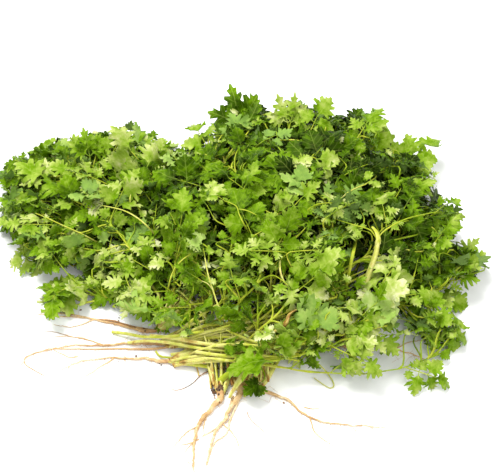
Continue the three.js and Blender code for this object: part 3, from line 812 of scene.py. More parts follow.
# ---- The tree that gives growth its surface ----
def growth_tree():
    """Ribbed stalks along the edges, and a leaflet or crumb on each marked point."""
    tree = bpy.data.node_groups.new("leafy_growth", "GeometryNodeTree")
    face = tree.interface
    face.new_socket("Geometry", in_out="INPUT", socket_type="NodeSocketGeometry")
    for name, kind in (
        ("Ribs", "Int"), ("Groove Depth", "Float"), ("Shapes", "Collection"), ("Blade", "Material"),
        ("Stalk", "Material"),
    ):
        face.new_socket(name, in_out="INPUT", socket_type=f"NodeSocket{kind}")
    face.new_socket("Geometry", in_out="OUTPUT", socket_type="NodeSocketGeometry")
    node = Nodes(tree).node

    def named(name, kind):
        return node("GeometryNodeInputNamedAttribute", {"Name": name}, data_type=kind).outputs["Attribute"]

    given = node("NodeGroupInput").outputs
    marked = named("is_shape", "BOOLEAN")
    parts = node(
        "GeometryNodeSeparateGeometry",
        {"Geometry": given["Geometry"], "Selection": marked},
        domain="POINT",
    )
    kinds = node(
        "GeometryNodeCollectionInfo",
        {"Collection": given["Shapes"], "Separate Children": True, "Reset Children": True},
    )
    placed = node(
        "GeometryNodeInstanceOnPoints",
        {
            "Points": parts.outputs["Selection"], "Instance": kinds.outputs[0], "Pick Instance": True,
            "Instance Index": named("variant", "INT"), "Rotation": named("turn", "FLOAT_VECTOR"),
            "Scale": named("size", "FLOAT"),
        },
    )
    lines = node("GeometryNodeMeshToCurve", {"Mesh": parts.outputs["Inverted"]})
    star = node(
        "GeometryNodeCurveStar",
        {"Points": given["Ribs"], "Outer Radius": 1.0, "Inner Radius": given["Groove Depth"]},
    )
    ribbed = node(
        "GeometryNodeStoreNamedAttribute",
        {"Geometry": star.outputs[0], "Name": "rib", "Value": star.outputs["Outer Points"]},
        data_type="FLOAT", domain="POINT",
    )
    tube = node(
        "GeometryNodeCurveToMesh",
        {
            "Curve": lines.outputs[0], "Profile Curve": ribbed.outputs[0], "Scale": named("size", "FLOAT"),
            "Fill Caps": True,
        },
    )
    smooth = node("GeometryNodeSetShadeSmooth", {"Geometry": tube.outputs[0]})
    both = node("GeometryNodeJoinGeometry")
    for made in (smooth, placed):
        tree.links.new(made.outputs[0], both.inputs[0])
    real = node("GeometryNodeRealizeInstances", {"Geometry": both.outputs[0]})
    stalks = node("GeometryNodeSetMaterial", {"Geometry": real.outputs[0], "Material": given["Stalk"]})
    blades = node(
        "GeometryNodeSetMaterial",
        {"Geometry": stalks.outputs[0], "Selection": marked, "Material": given["Blade"]},
    )
    node("NodeGroupOutput", {"Geometry": blades.outputs[0]})
    return tree


EASED = 1.2  # millimetres over the table, below which heights are eased


def above_table(z):
    """The height again, but eased to stay above the table."""
    return z if z > EASED else EASED * math.exp(z / EASED - 1)


def grow(name, growth, inputs):
    """Turns growth into a plain mesh piece of this name, by the tree."""
    points, edges, sizes, shades = [], [], [], []
    for path, radii, tones in growth.paths:
        first = len(points)
        points += [(Vector(p) - MIDDLE) * MM for p in path]
        edges += [(i, i + 1) for i in range(first, len(points) - 1)]
        sizes += [r * MM for r in radii]
        shades += list(tones)
    stalk_points = len(points)
    turns, variants = [(0, 0, 0)] * stalk_points, [0] * stalk_points
    for foot, turn, length, variant, shade in growth.shapes:
        points.append((foot - MIDDLE) * MM)
        turns.append(tuple(turn))
        sizes.append(length * MM)
        variants.append(variant)
        shades.append(shade)
    mesh = bpy.data.meshes.new(name)
    mesh.from_pydata(points, edges, [])
    is_shape = [i >= stalk_points for i in range(len(points))]
    for key, kind, values in (
        ("size", "FLOAT", sizes), ("shade", "FLOAT", shades), ("variant", "INT", variants),
        ("is_shape", "BOOLEAN", is_shape),
    ):
        mesh.attributes.new(key, kind, "POINT").data.foreach_set("value", values)
    mesh.attributes.new("turn", "FLOAT_VECTOR", "POINT").data.foreach_set("vector", np.ravel(turns))
    sketch = bpy.data.objects.new(name + "_sketch", mesh)
    bpy.context.scene.collection.objects.link(sketch)
    modifier = sketch.modifiers.new("growth", "NODES")
    modifier.node_group = TREE
    for item in TREE.interface.items_tree:
        if item.in_out == "INPUT" and item.name in inputs:
            modifier[item.identifier] = inputs[item.name]
    seen = bpy.context.evaluated_depsgraph_get()
    grown = sketch.evaluated_get(seen)
    made = bpy.data.meshes.new_from_object(grown, preserve_all_data_layers=True, depsgraph=seen)
    bpy.data.objects.remove(sketch)
    for spare in ("size", "variant", "turn", "is_shape"):
        if spare in made.attributes:
            made.attributes.remove(made.attributes[spare])
    for corner in made.vertices:
        corner.co.z = above_table(corner.co.z / MM) * MM
    made.name = name
    piece = bpy.data.objects.new(name, made)
    bpy.context.scene.collection.objects.link(piece)
    return piece


TREE = growth_tree()
LEAFLETS, SOIL = leaflet_set(), crumb_set()
LEAF, STALK, ROOT = leaf_finish(), stalk_finish(), root_finish()
STEM_INPUTS = {"Ribs": 3, "Groove Depth": 0.72, "Shapes": LEAFLETS, "Blade": LEAF, "Stalk": STALK}
ROOT_INPUTS = {"Ribs": 6, "Groove Depth": 0.93, "Shapes": SOIL, "Blade": ROOT, "Stalk": ROOT}

# ---- The stalks and leaves that the solids have ----
GROWTH_SEED = 5
growths = {stem.name: Growth() for stem in stems}
rng = random.Random(GROWTH_SEED)
STALK_POINTS, STALK_WAVER = 24, 0.35
STALK_FOOT_R, STALK_TAPER, OUTSIDE_SLIM = 1.25, 0.65, 0.65
STALK_TONES, STALK_TONE_STRAY = ((0, 0.05, 0.3, 0.7, 1), (0.04, 0.18, 0.36, 0.55, 0.75)), (-0.08, 0.12)
OUTSIDE_SHADES, SOLID_FINENESS = (0.50, 0.76), (0.1, 0.7)
# A leaf's tone: painted shade that darkens it deep inside the heap and lightens it towards its top, and
# now and then its own pale colour.
BURIED = 42  # millimetres under the top of the heap where hardly any light comes
DEEP_SHADE, LIT_SHADE, LIT_POWER, DEEP_STRAY, LIT_STRAY = 0.02, 0.43, 1.3, 0.05, 0.08
PALE_SHARE, PALE = 0.18, (0.10, 0.28)
# Painted light and shade by place: leaves paler towards the front and left, and less pale towards the back
# and right.
PAINTED_LIGHT_ALONG_Y = ((-62, -25, 10), (0.17, 0.05, -0.07))
PAINTED_LIGHT_ALONG_X = ((-70, -20, 40), (0.13, 0, -0.05))
MARKS = ((0, 0), (0.5, 0), (0.92, 0), (0.4, 0.36), (0.4, -0.36))
TOP_LAYERS, GAP_ROOM = 0.7, 0.6  # the layers that keep the gaps open, and how much of them


def leaf_tone_and_painted_shade(rng, place):
    """Painted shade: deep green inside the heap, bright on it; painted light towards its front and left;
    its own pale tone here and there.
    """
    light = kept_in(1 - (heap_top(place[0], place[1]) - place[2]) / BURIED)
    pale = rng.uniform(*PALE) if rng.random() < PALE_SHARE * light else 0
    paler = np.interp(place[1], *PAINTED_LIGHT_ALONG_Y) + np.interp(place[0], *PAINTED_LIGHT_ALONG_X)
    middle = DEEP_SHADE + LIT_SHADE * light**LIT_POWER + paler
    return kept_in(rng.gauss(middle, DEEP_STRAY + LIT_STRAY * light) + pale)


def marks(leaf):
    """The leaf's foot, middle, tip and sides."""
    return [leaf.at(leaf.length * along, leaf.length * across) for along, across in MARKS]


def shown_inside(leaf):
    """Whether the whole leaf shows inside the silhouette."""
    return all(in_silhouette(mark) for mark in marks(leaf))


def hides(leaf, depth):
    """Whether the leaf is in the way of what should show, or fills an open place."""
    if any(in_any(CLEAR, mark) for mark in marks(leaf)):
        return True
    return depth > TOP_LAYERS and in_any(GAPS, marks(leaf)[1], GAP_ROOM)


ways = []  # (stem, point, way ahead, share of the stalk's length) along every stalk
for stem in stems:
    path = spaced(flowing(stem.points), STALK_POINTS)
    path[1:-1, :2] += [[rng.uniform(-STALK_WAVER, STALK_WAVER) for _ in range(2)] for _ in path[1:-1]]
    t = np.linspace(0, 1, len(path))
    tones = np.interp(t, *STALK_TONES) + rng.uniform(*STALK_TONE_STRAY)
    slim = np.array([1.0 if in_silhouette(place) else OUTSIDE_SLIM for place in path])
    growths[stem.name].path(path, (STALK_FOOT_R - STALK_TAPER * t) * slim, np.clip(tones, 0, 1))
    for i in range(len(path) - 1):
        ahead = Vector(path[i + 1] - path[i]).normalized()
        ways.append((stem, Vector(path[i]), ahead, i / len(path)))
    for leaf in stem.leaves:
        shade = leaf_tone_and_painted_shade(rng, leaf.base) if shown_inside(leaf) else rng.uniform(*OUTSIDE_SHADES)
        dress_leaf(growths[stem.name], rng, leaf, shade, rng.uniform(*SOLID_FINENESS))

WAY_POINTS = np.array([tuple(w[1]) for w in ways])
WAY_AHEAD = np.array([tuple(w[2]) for w in ways])
WAY_SHARE = np.array([w[3] for w in ways])
# What speaks against a place on a stalk: a leaf that lies behind it, a bare stalk foot, a way down.
BEHIND_COST, BARE_COST, BARE_SHARE, DOWN_COST = 14, 40, 0.22, 0.6
LEAST_FAR = 0.01
PETIOLE_REACH, PETIOLE_STEPS, PETIOLE_BOW = 46, 7, 0.35
PETIOLE_RADII, PETIOLE_TONES, PETIOLE_GREENER = (0.75, 0.5), (0.35, 0.7), 0.1


def best_way(foot):
    """The place on a stalk that a leaf with its foot there grows from, and how far off it is."""
    gap = np.array(foot) - WAY_POINTS
    far = np.linalg.norm(gap, axis=1)
    along = np.sum(gap * WAY_AHEAD, axis=1) / np.maximum(far, LEAST_FAR)
    cost = far + BEHIND_COST * (1 - along) + BARE_COST * (WAY_SHARE < BARE_SHARE)
    best = int(np.argmin(cost + DOWN_COST * np.maximum(0, -gap[:, 2])))
    return best, far[best]


def grow_leaf(rng, foot, leaf, shade, fineness, **manner):
    """A leaf on a petiole from the nearest stalk that leads to its foot."""
    best, far = best_way(foot)
    stem, start, ahead, _ = ways[best]
    growth = growths[stem.name]
    way = leaf.turn @ Vector((1, 0, 0))
    reach = PETIOLE_BOW * far
    route = bezier(start, start + ahead * reach, Vector(foot) - way * reach, foot)
    tone = rng.uniform(*PETIOLE_TONES)
    tones = np.linspace(tone, tone + PETIOLE_GREENER, PETIOLE_STEPS)
    path = route(np.linspace(0, 1, PETIOLE_STEPS))
    growth.path(path, np.linspace(*PETIOLE_RADII, PETIOLE_STEPS), tones)
    dress_leaf(growth, rng, leaf, shade, fineness, **manner)


# ---- Leaves that fill the heap ----
SPAN_X, SPAN_Y = (-176, 170), (-92, 150)  # where leaves and flecks are tried
LEAST_HEAP, LEAST_FOOT = 2.5, 3.0
LAYERS = (  # share of the heap's height, spacing, shortest and longest leaf, how loosely they lie
    (1.0, 10.0, 17, 44, 21), (0.80, 11.2, 18, 38, 21), (0.52, 14, 26, 42, 20), (0.2, 11.6, 30, 44, 8),
)
PLACES_TRIED, TURNS_TRIED, SHORTER = 9000, 9, 0.94
DEPTH_STRAY = (0.85, 1.08)
UPPER_LAYERS = 0.4
FRONT_Y, FRONT_LENGTH = -46, 0.75
THINNED_X, THINNED_SHARE = 45, 0.45  # the front's left part, where stalks show between the leaves
FANS, FAN_LENGTH = 0.35, 0.62  # the share of these leaves that are a fan of three blades
MOSTLY_SHORT = 1.5
TURN_SPREAD, SPREAD_STEP = 0.7, 0.25
# Leaves turned over show the pale under side, which also serves as a painted sheen.
OVER_SHARE = 0.09  # the leaves whose under side shows
# Painted shade for leaves in and about the open places, and how far round them it reaches.
GAP_PAINTED_SHADE, ROUND_GAPS = 0.22, 1.5
FOLLOWS_SLOPE, LEANS_BACK = 0.35, np.array((0, -0.42))
LYING_LIFT, ROLL_LOOSER, LYING_DROOPS, LYING_CURLS = 6, 1.3, (0.05, 0.45), (-0.25, 0.4)
FEATHERY_PLACE = (285, 238, 85, 50)  # in the frame: middle across and down, half width and height
FINENESS, FINER_THERE = (0.2, 0.8), 0.6


def scatter(rng, spacing, tries):
    """Plan points on the heap, none nearer than the spacing to another."""
    kept = np.zeros((0, 2))
    for _ in range(tries):
        place = np.array((rng.uniform(*SPAN_X), rng.uniform(*SPAN_Y)))
        if heap_top(*place) <= LEAST_HEAP:
            continue
        if len(kept) == 0 or np.min(np.linalg.norm(kept - place, axis=1)) > spacing:
            kept = np.vstack([kept, place])
    return kept


def lying_leaf(rng, foot, heading, length, loose):
    """A leaf that lies flatter than the heap's slope, and as far off that as its draws say."""
    ahead = np.array((math.cos(heading), math.sin(heading)))
    slope = FOLLOWS_SLOPE * heap_slope(foot[0], foot[1]) + LEANS_BACK
    pitch = math.atan(slope @ ahead) + math.radians(LYING_LIFT + rng.gauss(0, loose))
    roll = math.atan(ahead[0] * slope[1] - ahead[1] * slope[0])
    roll += math.radians(rng.gauss(0, ROLL_LOOSER * loose))
    return Leaf(foot, heading, pitch, roll, length, rng.uniform(*LYING_DROOPS), rng.uniform(*LYING_CURLS))


def fineness_at(rng, point):
    """Feathery leaves in the middle of the heap and broad ones round it."""
    x, y = seen_at(point)
    middle_x, middle_y, half_x, half_y = FEATHERY_PLACE
    middle = max(0, 1 - math.hypot((x - middle_x) / half_x, (y - middle_y) / half_y))
    return rng.uniform(*FINENESS) + FINER_THERE * middle


for depth, spacing, low, high, loose in LAYERS:
    for x, y in scatter(rng, spacing, PLACES_TRIED):
        foot = Vector((x, y, max(LEAST_FOOT, heap_top(x, y) * depth * rng.uniform(*DEPTH_STRAY))))
        thinned = y < FRONT_Y and x < THINNED_X and depth > UPPER_LAYERS and rng.random() < THINNED_SHARE
        best, far = best_way(foot)
        in_gap = depth > TOP_LAYERS and in_any(GAPS, foot, GAP_ROOM)
        if thinned or far > PETIOLE_REACH or in_gap:
            continue
        places = FAN_LEAF if rng.random() < FANS else None
        length = lerp(low, high, rng.random() ** MOSTLY_SHORT) * (FRONT_LENGTH if y < FRONT_Y else 1)
        length *= FAN_LENGTH if places else 1
        along = math.atan2(ways[best][2].y, ways[best][2].x)
        for attempt in range(TURNS_TRIED):
            heading = along + rng.gauss(0, TURN_SPREAD + SPREAD_STEP * attempt)
            leaf = lying_leaf(rng, foot, heading, length, loose)
            if shown_inside(leaf) and not (depth > UPPER_LAYERS and hides(leaf, depth)):
                over = rng.random() < OVER_SHARE
                # Leaves in and about an open place get painted shade.
                darker = GAP_PAINTED_SHADE if in_any(GAPS, foot, ROUND_GAPS) else 0
                shade = max(0.0, leaf_tone_and_painted_shade(rng, foot) - darker)
                grow_leaf(rng, foot, leaf, shade, fineness_at(rng, foot), over=over, places=places)
                break
            length *= SHORTER

# ---- Flecks: stray bits of pale leaf that lie about on the heap, pale enough to be painted glints as well ----
FLECKS_TRIED, FLECK_SPACING, FLECK_DEPTHS = 110, 6, (0.9, 1.04)
FLECK_LIFTS, FLECK_LEAN, FLECK_TILT = (-0.5, 0.7), 0.4, -0.3
# Their pale shades are partly painted glints.
FLECK_AND_GLINT_SHADES, FLECK_LENGTHS = (0.74, 0.92), (4, 8)
for x, y in scatter(rng, FLECK_SPACING, FLECKS_TRIED):
    foot = Vector((x, y, heap_top(x, y) * rng.uniform(*FLECK_DEPTHS)))
    if in_silhouette(foot):
        heading, lift = rng.uniform(0, 2 * math.pi), rng.uniform(*FLECK_LIFTS)
        ahead = Vector((math.cos(heading), math.sin(heading), lift)).normalized()
        up = Vector((rng.gauss(0, FLECK_LEAN), rng.gauss(FLECK_TILT, FLECK_LEAN), 1)).normalized()
        stem = ways[best_way(foot)[0]][0]
        variant, shade = rng.randrange(VARIANTS), rng.uniform(*FLECK_AND_GLINT_SHADES)
        growths[stem.name].shape(foot, ahead, up, rng.uniform(*FLECK_LENGTHS), variant, shade)

# ---- Leaves that stand out: frame across and down, share of the heap's height, heading, lift, lean, ----
# ---- length, shade, fineness, 1 where the pale under side shows as a painted sheen, 0 leaflets, 1 a fan, 2 one blade ----
FEATURE_KINDS = (None, FAN_LEAF, ONE_BLADE)
FEATURE_DROOP, FEATURE_CURL, FEATURE_LOOSE = 0.15, 0.1, 0.3
FEATURE_LEAVES = {
    "top_sprig": (240, 124, 1.0, 112, 42, 0, 33, 0.34, 0.6, 0, 1),
    "top_sprig_side": (247, 128, 0.95, 58, 36, 15, 26, 0.30, 0.6, 0, 1),
    "top_sprig_low": (242, 134, 0.95, 126, 24, 0, 22, 0.52, 0.4, 1, 1),
    "top_pale_tip": (288, 124, 1.0, 104, 40, 0, 26, 0.74, 0.7, 0, 1),
    "top_pale_tip_side": (290, 124, 1.0, 68, 36, 20, 25, 0.68, 0.7, 0, 1),
    "top_right_of_tip": (310, 132, 1.0, 62, 30, 10, 28, 0.62, 0.3, 0, 0),
    "top_far_right": (356, 140, 1.0, 55, 25, 0, 30, 0.60, 0.5, 0, 0),
    "lime_top": (315, 158, 1.08, -40, -8, 10, 24, 0.76, 0.1, 0, 1),
    "lime_top_second": (300, 156, 1.08, -100, 4, 10, 17, 0.76, 0.1, 0, 1),
    "pale_left": (104, 206, 1.08, 152, 4, 0, 19, 0.87, 0.15, 0, 1),
    "pale_low_left": (152, 250, 1.1, 135, 5, 0, 19, 0.85, 0.15, 0, 1),
    "pale_low_left_second": (168, 262, 1.1, 150, 0, 10, 20, 0.88, 0.15, 0, 1),
    "lime_middle_left": (207, 199, 1.1, 84, 14, -20, 19, 0.78, 0.15, 0, 1),
    "deep_top": (287, 172, 1.05, 172, -4, 10, 33, 0.44, 0.0, 0, 1),
    "sheen_top": (307, 184, 1.08, 160, 0, 0, 20, 0.58, 0.05, 1, 1),
    "feathery_right": (386, 222, 1.1, 98, 18, 0, 27, 0.74, 0.75, 0, 0),
    "pale_right": (397, 270, 1.1, 120, 10, 0, 12, 0.80, 0.2, 0, 2),
    "sheen_front": (318, 332, 1.1, 100, 16, 0, 27, 0.58, 0.0, 1, 1),
    "edge_on_front": (304, 338, 1.1, 178, 5, 62, 20, 0.62, 0.1, 1, 2),
    "over_crown": (275, 361, 1.5, 178, -2, 18, 28, 0.46, 0.0, 0, 2),
    "beside_crown": (262, 382, 1.0, 215, -4, 0, 15, 0.30, 0.2, 0, 1),
    "low_left": (72, 286, 0.5, 212, -4, 0, 28, 0.62, 0.3, 0, 1),
    "lime_low_left": (155, 292, 1.0, 190, 4, 0, 24, 0.76, 0.15, 0, 1),
    "edge_on_left": (158, 312, 1.0, 182, 4, 50, 26, 0.68, 0.1, 1, 2),
    "left_tall": (90, 158, 1.0, 98, 40, 0, 27, 0.46, 0.75, 0, 1),
    "left_tall_side": (110, 158, 1.0, 60, 30, 0, 26, 0.6, 0.3, 0, 0),
    "right_tip": (414, 188, 0.9, 18, 8, 0, 18, 0.58, 0.4, 0, 1),
    "right_low_tip": (440, 218, 0.8, 2, 8, 0, 18, 0.64, 0.4, 0, 1),
    "sheen_left": (100, 192, 1.1, 200, -6, 20, 24, 0.50, 0.0, 1, 1),
    "left_edge_top": (48, 180, 1.0, 155, 12, 0, 30, 0.70, 0.7, 0, 1),
    "left_edge_low": (52, 225, 1.0, 178, 4, 0, 34, 0.70, 0.7, 0, 0),
    "lime_centre": (255, 235, 1.1, 30, 8, 0, 30, 0.72, 1.0, 0, 0),
    "feathery_centre": (284, 252, 1.12, 178, 6, 0, 34, 0.70, 1.0, 0, 0),
    "feathery_centre_right": (290, 252, 1.12, 4, 6, 0, 32, 0.70, 1.0, 0, 0),
    "lime_over_gap": (318, 204, 1.1, 8, 2, 0, 26, 0.74, 0.4, 0, 0),
    "pale_under_middle": (203, 244, 1.1, 160, 0, 0, 14, 0.82, 0.2, 1, 1),
    "pale_front": (372, 318, 1.1, 40, 8, 0, 26, 0.76, 0.1, 1, 1),
    "over_node": (368, 232, 1.08, 160, 0, 0, 15, 0.72, 0.5, 0, 0),
    "over_node_right": (384, 228, 1.08, 30, 10, 0, 14, 0.66, 0.5, 0, 0),
    "pale_front_left": (330, 312, 1.12, 25, 2, 0, 22, 0.74, 0.3, 0, 0),
    "pale_front_right": (402, 296, 1.1, 10, 2, 0, 22, 0.66, 0.4, 0, 0),
    "lime_front": (352, 338, 1.1, 30, 4, 0, 22, 0.76, 0.4, 0, 1),
}
for view_x, view_y, share, *angles, length, shade, fineness, over, kind in FEATURE_LEAVES.values():
    foot = Vector(on_heap(view_x, view_y, share, LEAST_FOOT))
    turns = [math.radians(angle) for angle in angles]
    leaf = Leaf(foot, *turns, length, FEATURE_DROOP, FEATURE_CURL)
    manner = {"over": bool(over), "loose": FEATURE_LOOSE, "places": FEATURE_KINDS[kind]}
    grow_leaf(rng, foot, leaf, shade, fineness, **manner)

# ---- Stems that stand out: whose, radii at foot and tip, shades there, and the way as frame across, ----
# ---- frame down and millimetres over the table ----
FEATURE_STEMS = {
    "thick": ("right_leafy_stem_4", 2.7, 1.9, 0.20, 0.28, (
        (357, 308, 12), (362, 296, 24), (370, 272, 40), (376, 254, 50), (378, 240, 56))),
    "thick_node": ("right_leafy_stem_4", 2.3, 0.9, 0.26, 0.42, (
        (377, 246, 53), (378, 239, 57), (376, 232, 59), (372, 227, 59))),
    "thick_left_branch": ("right_leafy_stem_4", 0.62, 0.32, 0.46, 0.66, (
        (377, 240, 56), (370, 230, 60), (354, 225, 62), (338, 220, 58))),
    "thick_right_branch": ("right_leafy_stem_4", 0.6, 0.36, 0.46, 0.68, (
        (377, 241, 56), (384, 231, 60), (406, 219, 58), (436, 212, 46))),
    "second": ("right_leafy_stem_3", 1.5, 1.0, 0.44, 0.55, (
        (344, 304, 10), (346, 288, 28), (350, 268, 44), (354, 250, 50), (356, 240, 36))),
    "curved_front": ("front_right_leafy_stem_1", 0.9, 0.5, 0.2, 0.3, (
        (283, 248, 30), (280, 264, 51), (282, 277, 49), (289, 288, 43), (302, 296, 38),
        (320, 295, 38), (340, 292, 34))),
    "twiggy": ("front_middle_leafy_stem_5", 0.75, 0.4, 0.30, 0.32, (
        (244, 324, 12), (232, 319, 24), (220, 309, 31), (213, 290, 37), (208, 274, 43),
        (205, 258, 44))),
    "twiggy_side": ("front_middle_leafy_stem_5", 0.5, 0.3, 0.28, 0.24, (
        (213, 290, 36), (208, 284, 38), (202, 281, 38))),
    "arc_left": ("front_left_leafy_stem_4", 0.75, 0.45, 0.35, 0.45, (
        (165, 300, 8), (169, 284, 31), (173, 272, 36), (181, 261, 40), (192, 253, 38))),
    "fork": ("front_middle_leafy_stem_4", 0.65, 0.4, 0.48, 0.58, (
        (256, 242, 32), (245, 226, 58), (239, 214, 62), (236, 206, 62), (225, 201, 58))),
    "fork_side": ("front_middle_leafy_stem_4", 0.45, 0.3, 0.48, 0.58, (
        (238, 209, 62), (248, 211, 63), (262, 218, 60))),
    "high_arc": ("right_leafy_stem_1", 0.65, 0.45, 0.3, 0.4, (
        (332, 216, 36), (340, 201, 62), (346, 194, 66), (354, 189, 66), (366, 184, 62))),
    "across_top": ("right_leafy_stem_2", 0.8, 0.45, 0.36, 0.5, (
        (254, 148, 20), (270, 141, 43), (284, 140, 48), (300, 141, 49), (320, 149, 46))),
    "cream_petiole": ("front_left_leafy_stem_6", 0.7, 0.4, 0.28, 0.36, (
        (162, 244, 12), (149, 228, 34), (136, 217, 38), (122, 210, 38), (104, 206, 36))),
    "left_arc": ("front_left_leafy_stem_5", 0.8, 0.5, 0.28, 0.36, (
        (133, 214, 16), (130, 200, 37), (132, 186, 37), (132, 172, 33), (128, 160, 26))),
    "left_sprig": ("front_left_leafy_stem_5", 0.6, 0.35, 0.34, 0.45, (
        (104, 246, 12), (84, 235, 32), (62, 225, 32), (40, 215, 26), (16, 207, 16))),
    "dark_rib": ("front_left_leafy_stem_1", 0.9, 0.6, 0.75, 0.85, (
        (102, 274, 10), (88, 281, 8), (74, 286, 5))),
    # A stem painted pale cream as the highlight along it: painted highlight.
    "highlight": ("middle_left_leafy_stem_1", 1.5, 1.1, 0.14, 0.22, (
        (150, 336, 7), (172, 338, 11), (194, 342, 14), (218, 346, 15), (238, 348, 15), (256, 354, 10))),
    "brown_tipped": ("near_left_leafy_stem_1", 1.8, 1.2, 0.02, 0.36, (
        (173, 366, 1.5), (182, 362, 3), (192, 362, 6), (210, 361, 9), (236, 360, 12), (252, 362, 10))),
    "brown_tipped_twig": ("near_left_leafy_stem_1", 0.6, 0.5, 0.2, 0.1, (
        (193, 363, 4), (197, 368, 2), (199, 376, 0.8))),
    "low_front": ("near_left_leafy_stem_2", 0.8, 0.8, 0.45, 0.45, (
        (156, 351, 1.5), (163, 357, 2), (192, 358, 5), (216, 357, 9), (238, 355, 12))),
    "petiole_stub": ("back_left_leafy_stem_6", 1.2, 1.0, 0.3, 0.42, (
        (112, 332, 1.5), (128, 334, 4), (146, 337, 8), (176, 336, 13), (204, 331, 18))),
    "left_stub_low": ("middle_left_leafy_stem_2", 1.2, 1.0, 0.10, 0.40, (
        (128, 343, 2), (146, 341, 6), (170, 343, 9), (198, 348, 12), (226, 351, 13))),
    "loop": ("front_right_leafy_stem_3", 0.6, 0.4, 0.42, 0.2, (
        (300, 352, 12), (316, 362, 7), (328, 374, 2), (334, 385, 0.6), (329, 388, 0.6),
        (314, 378, 1.5))),
    "stub_left_of_crown": ("front_left_leafy_stem_1", 2.3, 1.6, 0.55, 0.45, (
        (220, 381, 4), (227, 375, 8), (236, 368, 12), (246, 360, 13))),
    "broad_sheath": ("front_middle_leafy_stem_1", 1.0, 3.2, 0.16, 0.30, (
        (229, 398, 4), (233, 390, 7), (240, 379, 11), (248, 366, 12))),
    "pale_strand": ("front_right_leafy_stem_1", 1.0, 0.8, 0.3, 0.4, (
        (244, 397, 1.5), (248, 387, 5), (254, 376, 9), (260, 366, 11))),
    "decayed_bit": ("front_right_leafy_stem_2", 2.2, 0.7, 0.02, 0.09, (
        (283, 327, 30), (287, 322, 35), (290, 314, 37), (298, 309, 37))),
    "decayed_tip": ("front_middle_leafy_stem_2", 1.8, 0.7, 0.1, 0.12, (
        (265, 340, 22), (270, 335, 26), (277, 330, 29))),
    "across_front": ("near_left_leafy_stem_4", 1.2, 0.8, 0.42, 0.5, (
        (230, 344, 18), (262, 343, 20), (296, 340, 20), (330, 331, 18), (352, 322, 16))),
    "across_front_low": ("near_left_leafy_stem_3", 1.1, 0.8, 0.36, 0.5, (
        (226, 330, 20), (252, 341, 22), (284, 350, 16), (318, 350, 11), (344, 344, 8))),
    "flank_front": ("near_left_leafy_stem_2", 1.2, 0.9, 0.3, 0.5, (
        (196, 352, 12), (226, 356, 16), (262, 358, 16), (298, 354, 12), (326, 346, 8))),
}
STEPS_A_POINT = 5
LEAFY_TIP, LEAFY_HEIGHT = 0.5, 12  # a stem with so thin a tip, so high over the table, ends in a leaf
DRAWN_OUT, DRAWN_OUT_TO = 0.4, 0.15  # how slim a foot that high is, and the share of the way it takes
TIP_PITCHES, TIP_ROLLS, TIP_LENGTHS, TIP_SHADES = (-5, 20), (-0.3, 0.3), (15, 22), (0.45, 0.75)
TIP_DROOP, TIP_CURL, TIP_FINENESS = 0.2, 0.1, (0.2, 0.7)
for owner, foot_r, tip_r, foot_shade, tip_shade, way in FEATURE_STEMS.values():
    route = spaced(flowing([at_height(*place) for place in way]), STEPS_A_POINT * len(way))
    steps = np.linspace(0, 1, len(route))
    slim = np.interp(steps, (0, DRAWN_OUT_TO), (DRAWN_OUT if route[0][2] > LEAFY_HEIGHT else 1, 1))
    growths[owner].path(route, lerp(foot_r, tip_r, steps) * slim, lerp(foot_shade, tip_shade, steps))
    if tip_r <= LEAFY_TIP and route[-1][2] > LEAFY_HEIGHT:
        onward = route[-1] - route[-3]
        heading, pitch = math.atan2(onward[1], onward[0]), math.radians(rng.uniform(*TIP_PITCHES))
        roll, length = rng.uniform(*TIP_ROLLS), rng.uniform(*TIP_LENGTHS)
        leaf = Leaf(Vector(route[-1]), heading, pitch, roll, length, TIP_DROOP, TIP_CURL)
        dress_leaf(growths[owner], rng, leaf, rng.uniform(*TIP_SHADES), rng.uniform(*TIP_FINENESS))

# ---- The crowns: sheaths that wrap the stalks' feet, and slender stems that fan out from them ----
# How many stems fan out from a crown, how far to either side in degrees, their shortest and longest
# reach, how high they arch in millimetres, and how many sheaths it has.
CROWNS = {
    "front_left": (5, 20, 40, 90, 12, 2), "front_middle": (7, 40, 40, 90, 12, 2),
    "front_right": (8, 48, 40, 90, 12, 2), "right": (8, 40, 40, 90, 10, 2),
    "back_left": (20, 45, 50, 130, 15, 4), "middle_left": (17, 15, 60, 150, 17, 4),
    "near_left": (17, 12, 60, 140, 15, 4),
}
FAN_POINTS = 18
FAN_SIDEWAYS, FAN_ONWARD, FAN_BEND_TURN, FAN_BEND_AT, FAN_DRIFT = (-5, 5), (-4, 6), 0.4, 0.45, (-2, 14)
FAN_HEIGHTS, ARCH_SHARES, ARCH_TURNS, HEAP_SHARES = (2, 4), (0.5, 1.15), (1.8, 2.6), (0.3, 0.9)
FAN_RADII, FAN_TAPER, FAN_TONE_STRAY = (0.6, 1.35), 0.4, (-0.08, 0.14)
FAN_TONES = ((0, 0.08, 0.5, 1), (0.05, 0.18, 0.32, 0.5))
SHEATH_POINTS, SHEATH_SPREAD, SHEATH_TURN_STRAY = 8, 14, (-5, 5)
SHEATH_BACK, SHEATH_LENGTHS, SHEATH_APART = (3, 7), (20, 36), 2.6
SHEATH_HEIGHT, SHEATH_ARCH, MIDDLE_ARCH, SHEATH_ARCH_TURN = 2.0, 2.5, 2.5, 2.4
SHEATH_RADII = ((0, 0.25, 0.6, 1), (1.0, 2.0, 1.6, 0.8))
SHEATH_TONES, SHEATH_TONE_STRAY = ((0, 0.2, 1), (0.04, 0.18, 0.45)), (-0.03, 0.08)


def growth_in_turn(plant_name, i):
    """The growth of one of the plant's leafy stems, each in its turn."""
    return growths[f"{plant_name}_leafy_stem_{1 + i % len(PLANTS[plant_name]['stems'])}"]


